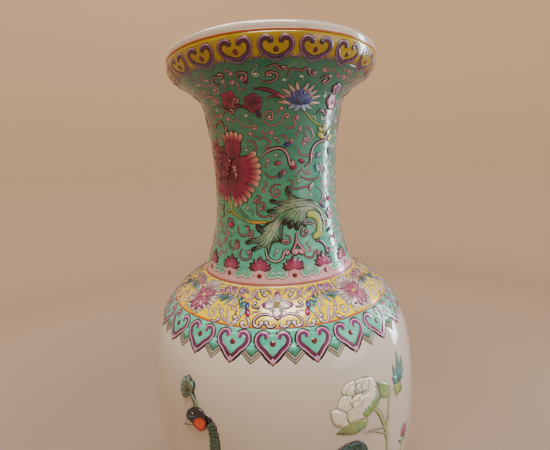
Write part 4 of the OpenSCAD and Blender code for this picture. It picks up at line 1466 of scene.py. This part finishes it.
def scales(brush, path, widths, step, size, dark, light):
    """Rows of small overlapping feathers down a neck or a back."""
    d = np.concatenate([[0], np.cumsum(np.linalg.norm(np.diff(path, axis=0), axis=1))])
    normal = left_of(path)
    row, base = 0, brush.h
    for at in np.arange(d[-1], 0, -step):
        i = min(int(np.searchsorted(d, at)), len(path) - 1)
        wide = float(np.interp(at, np.linspace(0, d[-1], len(widths)), widths))
        a = heading_of(path[min(i + 2, len(path) - 1)] - path[max(i - 2, 0)])
        n = max(2, int(wide / size))
        for k in range(n + row % 2):
            off = (k + 0.5 * (1 - row % 2)) / n * wide - wide / 2
            off = min(max(off, -0.5 * wide + 0.3 * size), 0.5 * wide - 0.3 * size)
            root = path[i] + normal[i] * off
            brush.h = base + 0.022 * row + 0.011 * (k % 2)
            brush.grow(root, a, 1.5 * size, 1.25 * size, (dark, light), 1.4, 0.35, 2.4, point=0.4, root=0.4)
        row += 1


RED_EDGE, NECK_GREEN, BEAK_GREY = lin(150, 24, 12), lin(110, 158, 134), lin(196, 190, 176)


def tail(brush):
    """Tail feathers from one root, the long ones first, each with its eye."""
    root = np.array((30.0, -30.0))
    for a, reach, size in ((-18, 126, 9.5), (-28, 136, 10), (-38, 130, 10), (-48, 128, 10), (-58, 120, 9.5),
                           (-24, 98, 9), (-36, 102, 9), (-48, 98, 9), (-60, 92, 8.5), (-30, 74, 8),
                           (-44, 74, 8)):
        tip = ahead(root, a, reach)
        mid = put([(0.08 * reach, 0.5 * reach)], a, root)[0]
        shaft = smooth([root, mid, tip])
        brush.stroke(shaft, 4.6, [DEEP_GREEN, GREY_GREEN], 0.5, taper=(0.4, 0.1))
        for k in range(4, len(shaft) - 6, 5):
            turn = heading_of(shaft[k + 2] - shaft[k - 2])
            for side in (32, -32):
                brush.hair(put([(0, 0), (0, 5.4)], turn + side, shaft[k]), 0.7, [TEAL, OLIVE][side > 0])
        feather_eye(brush, tip, a, size)


def body_and_neck(brush):
    """Legs, breast, and the neck and back with their rows of small feathers."""
    for x in (2, 18):
        brush.stroke(smooth([(x, -48), (x - 4, -66), (x - 1, -84)]), 2.6, [RUST, BROWN])
        for turn in (200, 250, 320):
            brush.stroke(put([(0, 0), (0, 9)], turn, (x - 1, -84)), 1.8, [BROWN, RUST])
    breast = smooth([(-71, 46), (-62, 48), (-56, 30), (-38, 8), (-8, 6), (22, 10), (44, -2), (48, -24),
                     (34, -44), (4, -58), (-28, -52), (-54, -30), (-70, 0), (-74, 28)], closed=True)
    brush.shape(breast, to_tip(BLACK_GREEN, TEAL, 70, 1.0), 0.8, grid=4)
    neck = smooth([(-26, -40), (-48, -18), (-60, 6), (-61.6, 30), (-58.8, 54), (-58.6, 67), (-60.6, 76),
                   (-64.2, 81.6), (-70.4, 84)])
    neck_width = lambda t: np.interp(t, np.linspace(0, 1, 6), (30, 22, 14, 10, 9.2, 6.0))
    brush.stroke(neck, neck_width, [DEEP_GREEN, BLACK_GREEN], 0.4, taper=(0, 0.02), thin=1.0)
    brush.h += 0.06
    scales(brush, neck[:int(0.95 * len(neck))][::-1], (7.6, 8.4, 10, 14, 22, 31), 2.9, 2.3, BLACK_GREEN,
           NECK_GREEN)
    back = smooth([(-34, -34), (-14, -24), (14, -22), (36, -26)])
    scales(brush, back, (34, 26), 4.6, 5.0, DEEP_GREEN, GOLD)
    brush.h += 0.05


def wing(brush):
    """Folded wing: three rows of long feathers, its raised shoulder and a fan of blue feathers."""
    for row, (count, length, tones) in enumerate(((9, 46, (NAVY, SKY)), (8, 34, (TEAL, MINT)),
                                                  (7, 22, (BLUE, TEAL_WASH)))):
        for k in range(count):
            at = (-6 + 5.4 * k + 2 * row, 2 + 3.0 * row + 1.4 * k)
            a = -34 + 6.0 * k
            brush.grow(at, a, length, 8.4 - row, tones, 1.0, 0.6, 2.6, point=0.6)
            brush.hair(put([(0, 3), (0, 0.9 * length)], a, at), 0.5, WHITE)
    wing_top = smooth([(-14, 0), (6, 22), (24, 44), (37, 56), (50, 61), (62, 58), (67, 45), (57, 18),
                       (30, -8), (4, -12)], closed=True)
    brush.shape(wing_top, to_tip(TEAL, BLACK_GREEN, 80, 1.0, (30, -6)), 0.8, grid=4)
    scales(brush, smooth([(56, 57), (42, 40), (22, 18), (4, -4)]), (20, 36, 34, 26), 4.4, 4.6, BLACK_GREEN,
           TEAL_WASH)
    for k in range(7):
        at, a = (58 - 3.6 * k, 36 - 7.4 * k), -22 - 4 * k
        brush.grow(at, a, 36, 7.6, (NAVY, SKY), 1.0, 0.6, 2.6, point=0.6)
        brush.hair(put([(0, 3), (0, 32)], a, at), 0.5, WHITE)


def crest(brush):
    """Fan of small feathers on a short stalk, each with an olive and gold eye."""
    root = (-83.0, 98.4)
    brush.h += 0.02
    brush.stroke(smooth([(-76.5, 88), (-78.6, 94), (-82.6, 99)]), lambda t: 2.2 + 3.4 * t,
                 [BLACK_GREEN, GREY_GREEN], 0.3, taper=(0.02, 0.02), thin=1.0)
    for a, length in ((196, 10), (172, 12.5), (150, 14), (128, 15), (106, 15.5), (84, 12)):
        brush.grow(root, a, length, 6.4, (KHAKI, TEAL_WASH), 2.2, 0.4, dome=0.02, point=0.4, fullness=0.74,
                   root=0.14)
    brush.h += 0.12
    for a, length in ((190, 8), (164, 10), (138, 11), (112, 11), (86, 8.6)):
        brush.drop(ahead(root, a, length), 2.0, OLIVE, 0)
        brush.h += 0.03
        brush.drop(ahead(root, a, 1.06 * length), 1.2, GOLD, 0)
    for k in range(4):
        stalk = smooth([(-76.4 + 0.5 * k, 89.6), (-78 + 0.2 * k, 95.4), (-82.4 - 1.2 * k, 102 - k)])
        brush.hair(stalk, 0.6, GREY_GREEN)


def bird_head(brush):
    """Beak, dark head, red cheek and eye. The cheek and the eye are raised to cover what is under them."""
    beak = smooth([(-85.2, 76), (-87.4, 72.6), (-89.8, 68.9), (-84.8, 70.8), (-79, 73), (-79.4, 77)],
                  closed=True)
    brush.shape(beak, BEAK_GREY, 0.8, dome=0.02)
    brush.hair(smooth([(-89, 69.6), (-84.6, 72.6), (-80, 74.6)]), 0.5)
    head = smooth([(-86.4, 76.6), (-86.2, 80.7), (-83.7, 85.1), (-78.6, 88.4), (-73.8, 89.2), (-69.6, 87.4),
                   (-66.6, 83.4), (-68, 78), (-74, 74), (-80.4, 74.6)], closed=True)
    brush.shape(head, BLACK, 0.5, dome=0.03)
    brush.h += 0.14
    cheek = smooth([(-78.4, 77.2), (-75.3, 80.6), (-69.8, 83.0), (-66.0, 81.0), (-65.8, 76.1), (-68.8, 71.6),
                    (-73.2, 70.8), (-77.6, 72.8)], closed=True)
    brush.shape(cheek, by_edge(RED_EDGE, ORANGE, 2.4), 0.7, grid=1.2, dome=0.01)
    brush.hair(smooth([(-84, 78.6), (-81, 80), (-77, 81)]), 1.3, TEAL)
    brush.h += 0.2
    brush.drop((-79.4, 83.4), 1.5, WHITE, 0)
    brush.h += 0.1
    brush.drop((-79.5, 83.4), 0.8, BLACK, 0)


def peacock(degrees):
    """Peacock facing left: sweeping tail, scaled neck and back, folded wing, crest and head."""
    brush = Brush([body_at(degrees)], bird_paint, bird_ink, BLACK, base=0.16, lift=0.009)
    for part in (tail, body_and_neck, wing, crest, bird_head):
        part(brush)


ROCK_WASHES = (lin(150, 190, 196), lin(120, 160, 140), lin(172, 168, 140), lin(142, 150, 176))
HOLLOW_WHITE = lin(226, 222, 213)


def rock(degrees, t, scale, seed):
    """A tall painted garden rock with pale hollows, moss dots and grass at its foot."""
    pick = random.Random(seed)
    brush = Brush([body_at(degrees, t, scale=scale)], rock_paint, rock_ink, BLACK)
    for x, y, w, h in ((-34, 0, 30, 44), (30, -2, 34, 38), (0, 8, 40, 62), (-56, -8, 24, 26),
                       (56, -8, 26, 22)):
        ring = [(x + w * 0.5 * pick.uniform(0.82, 1.12) * math.cos(a),
                 y + h * 0.5 * pick.uniform(0.84, 1.1) * math.sin(a))
                for a in np.linspace(0, 2 * math.pi, 11, endpoint=False)]
        tone = pick.choice(ROCK_WASHES)
        darker_edge = lambda _, d, c=tone: c * (0.62 + 0.38 * np.clip(d / 6, 0, 1))[:, None]
        brush.shape(smooth(ring, closed=True), darker_edge, 0.9, grid=3.0)
        for _ in range(6):
            a = pick.uniform(0, 6.28)
            at = (x + 0.28 * w * math.cos(a), y + 0.3 * h * math.sin(a))
            crack = pen((6, pick.uniform(-14, 14), 0), (5, 0, pick.uniform(-20, 20)), at=at,
                        heading=pick.uniform(60, 120))
            brush.hair(crack, 0.8)
            brush.drop((at[0] + 2, at[1] - 2), 1.2, MINT, 0.3)
    hollow = petal(15, 9, point=0.4, fullness=0.5, root=0.5)
    for at in ((-10, 20), (14, 2), (-36, 4)):
        brush.shape(put(hollow, 80, at), HOLLOW_WHITE, 0.9)
    for _ in range(16):
        at = (pick.uniform(-66, 66), pick.uniform(-26, -16))
        for turn in (60, 80, 100, 120):
            blade = pen((9, pick.uniform(-5, 5), 0), at=at, heading=turn + pick.uniform(-8, 8))
            brush.stroke(blade, 1.3, [LEAF, LIME], 0.3, taper=(0.1, 0.7))


def orchid_clump(degrees, t, tones, seed):
    """A low group of grass blades and small five-petalled flowers between the rocks."""
    pick = random.Random(seed)
    place = [body_at(degrees, t)]
    green = Brush(place, body_green, body_line, OLIVE, base=0.14, lift=0.012)
    pink = Brush(place, body_pink, body_ink, PLUM, base=0.5)
    for _ in range(9):
        a = pick.uniform(40, 140)
        blade = pen((20, pick.uniform(-2, 2), 0), (22, 0, pick.uniform(-5, 5)),
                    at=(pick.uniform(-10, 10), -22), heading=a)
        green.stroke(blade, 2.6, [LEAF, PALE_LEAF], 0.45, taper=(0.1, 0.7))
    for _ in range(6):
        at = (pick.uniform(-20, 20), pick.uniform(-6, 20))
        rosette(pink, at, pick.uniform(5.5, 7.5), *tones, 5, pick.uniform(0, 72))


peacock(0)
peony_spray(38.2)
peony_spray(-118, mirror=True, colours=(ROSE, BLUSH, GOLD))
peony_spray(152, 4)
peony_spray(-166, -30, mirror=True, scale=0.8, colours=(RUBY, ROSE, GOLD))
peony_spray(98, -24, scale=0.85, colours=(ROSE, BLUSH, GOLD))
ORCHID_TONES = ((RUBY, BLUSH), (PURPLE, LILAC), (BLUE, SKY))
for k, degrees in enumerate(range(4, 364, 72)):
    rock(degrees, ROCKS_LOW, 1.0 + 0.12 * (k % 2), seed=20 + k)
    orchid_clump(degrees + 36, ROCKS_LOW, ORCHID_TONES[k % 3], seed=30 + k)

# ---------------------------------------------------------------- border above the foot

FOOT_TOP = s_at(34.0)
skin("turquoise_foot_ground", S_FOOT + LINE, FOOT_TOP, 0.0, BORDER_T, TURQUOISE,
     "foot_band")
ruyi_collar(COLLAR_TURN, S_FOOT + LINE, up=-1)

for c in coats:
    c.build()


# ---------------------------------------------------------------- camera, light and studio


def area_light(name, at, look, size, power, colour, spread=180):
    """A soft rectangular light in W, aimed at a point; spread is in degrees."""
    data = bpy.data.lights.new(name, "AREA")
    data.shape, data.energy, data.color = "RECTANGLE", power, colour
    data.size, data.size_y = size
    data.spread = math.radians(spread)
    ob = bpy.data.objects.new(name, data)
    ob.location = at
    ob.rotation_euler = (Vector(look) - Vector(at)).to_track_quat("-Z", "Y").to_euler()
    ob.visible_camera = False
    bpy.context.scene.collection.objects.link(ob)


def turn_about(axis, degrees):
    return Matrix.Rotation(math.radians(degrees), 4, axis)


CAMERA_AT, LENS_MM, SENSOR_MM = (0.0, -0.378, 0.5035), 22.12, 36.0
PAN, DOWN, ROLL = 0.41, 10.16, -2.43
cam_data = bpy.data.cameras.new("camera")
cam_data.sensor_width, cam_data.lens, cam_data.clip_start = SENSOR_MM, LENS_MM, 0.01
camera = bpy.data.objects.new("camera", cam_data)
camera.location = CAMERA_AT
turn = turn_about("Z", PAN) @ turn_about("X", 90 - DOWN) @ turn_about("Z", ROLL)
camera.rotation_euler = turn.to_euler()
bpy.context.scene.collection.objects.link(camera)
bpy.context.scene.camera = camera

world = bpy.data.worlds.new("studio")
world.use_nodes = True
world.node_tree.nodes["Background"].inputs["Color"].default_value = (*lin(232, 214, 190), 1)
world.node_tree.nodes["Background"].inputs["Strength"].default_value = 0.01
bpy.context.scene.world = world
area_light("ceiling", (0.05, -0.30, 2.3), (0, 0, 0.3), (0.9, 0.6), 59, (1.0, 0.94, 0.85))
area_light("rear_ceiling", (-0.5, 1.1, 2.35), (0, 0, 0.3), (0.8, 0.8), 14, (1.0, 0.95, 0.88))
area_light("window", (1.15, 0.30, 0.62), (0, 0, 0.42), (0.22, 1.1), 2.2, (0.78, 0.89, 1.0), 60)
area_light("side", (1.3, -0.9, 0.8), (0, 0, 0.3), (0.9, 0.9), 4.5, (0.92, 0.96, 1.0))

# Pale floor and wall with painted shade: darker near the foot of the vase, lighter with the distance along
# the floor and up the wall.
n = Nodes("pale_studio")
height = n.add("ShaderNodeSeparateXYZ")
n.join(n.place, height.inputs[0])
around = n.add("ShaderNodeVectorMath", operation="LENGTH")
flat = n.add("ShaderNodeVectorMath", operation="MULTIPLY")
n.join(n.place, flat.inputs[0])
flat.inputs[1].default_value = (1, 1, 0)
n.join(flat.outputs[0], around.inputs[0])
along = n.add("ShaderNodeMath", operation="ADD")
n.join(around.outputs["Value"], along.inputs[0])
n.join(height.outputs["Z"], along.inputs[1])
ramp = n.add("ShaderNodeValToRGB")
RAMP_M = 3.5
STUDIO_SHADE_TONES = ((0.2, (146, 125, 109)), (0.5, (152, 131, 114)), (0.75, (164, 143, 125)),
                (1.0, (174, 152, 133)), (1.4, (180, 157, 134)), (2.0, (192, 168, 142)),
                (2.4, (202, 176, 146)), (3.2, (206, 177, 142)))
n.join(n.between(along.outputs[0], 0.0, RAMP_M, 0.0, 1.0), ramp.inputs[0])
while len(ramp.color_ramp.elements) < len(STUDIO_SHADE_TONES):
    ramp.color_ramp.elements.new(0.5)
for stop, (distance, tone) in zip(ramp.color_ramp.elements, STUDIO_SHADE_TONES):
    stop.position = distance / RAMP_M
    stop.color = (*lin(*tone), 1)
n.join(ramp.outputs[0], n.bsdf.inputs["Base Color"])
n.bsdf.inputs["Roughness"].default_value = 0.9
sweep = np.vstack([[(0.001, 0.0), (1.0, 0.0)], arc((1.3, 0.5), 0.5, -90, 0, 16), [(1.8, 2.0)]])
SIDES = 96
theta = np.linspace(0, 2 * math.pi, SIDES + 1)[:-1]
co = np.concatenate([np.column_stack([r * np.sin(theta), -r * np.cos(theta), np.full(SIDES, z)])
                     for r, z in sweep])
quads = [(row + k, row + (k + 1) % SIDES, row + SIDES + (k + 1) % SIDES, row + SIDES + k)
         for row in range(0, (len(sweep) - 1) * SIDES, SIDES) for k in range(SIDES)]
me = bpy.data.meshes.new("studio_floor")
me.from_pydata(co.tolist(), [], quads)
me.polygons.foreach_set("use_smooth", [True] * len(me.polygons))
studio = bpy.data.objects.new("studio_floor", me)
studio.data.materials.append(n.material)
bpy.context.scene.collection.objects.link(studio)
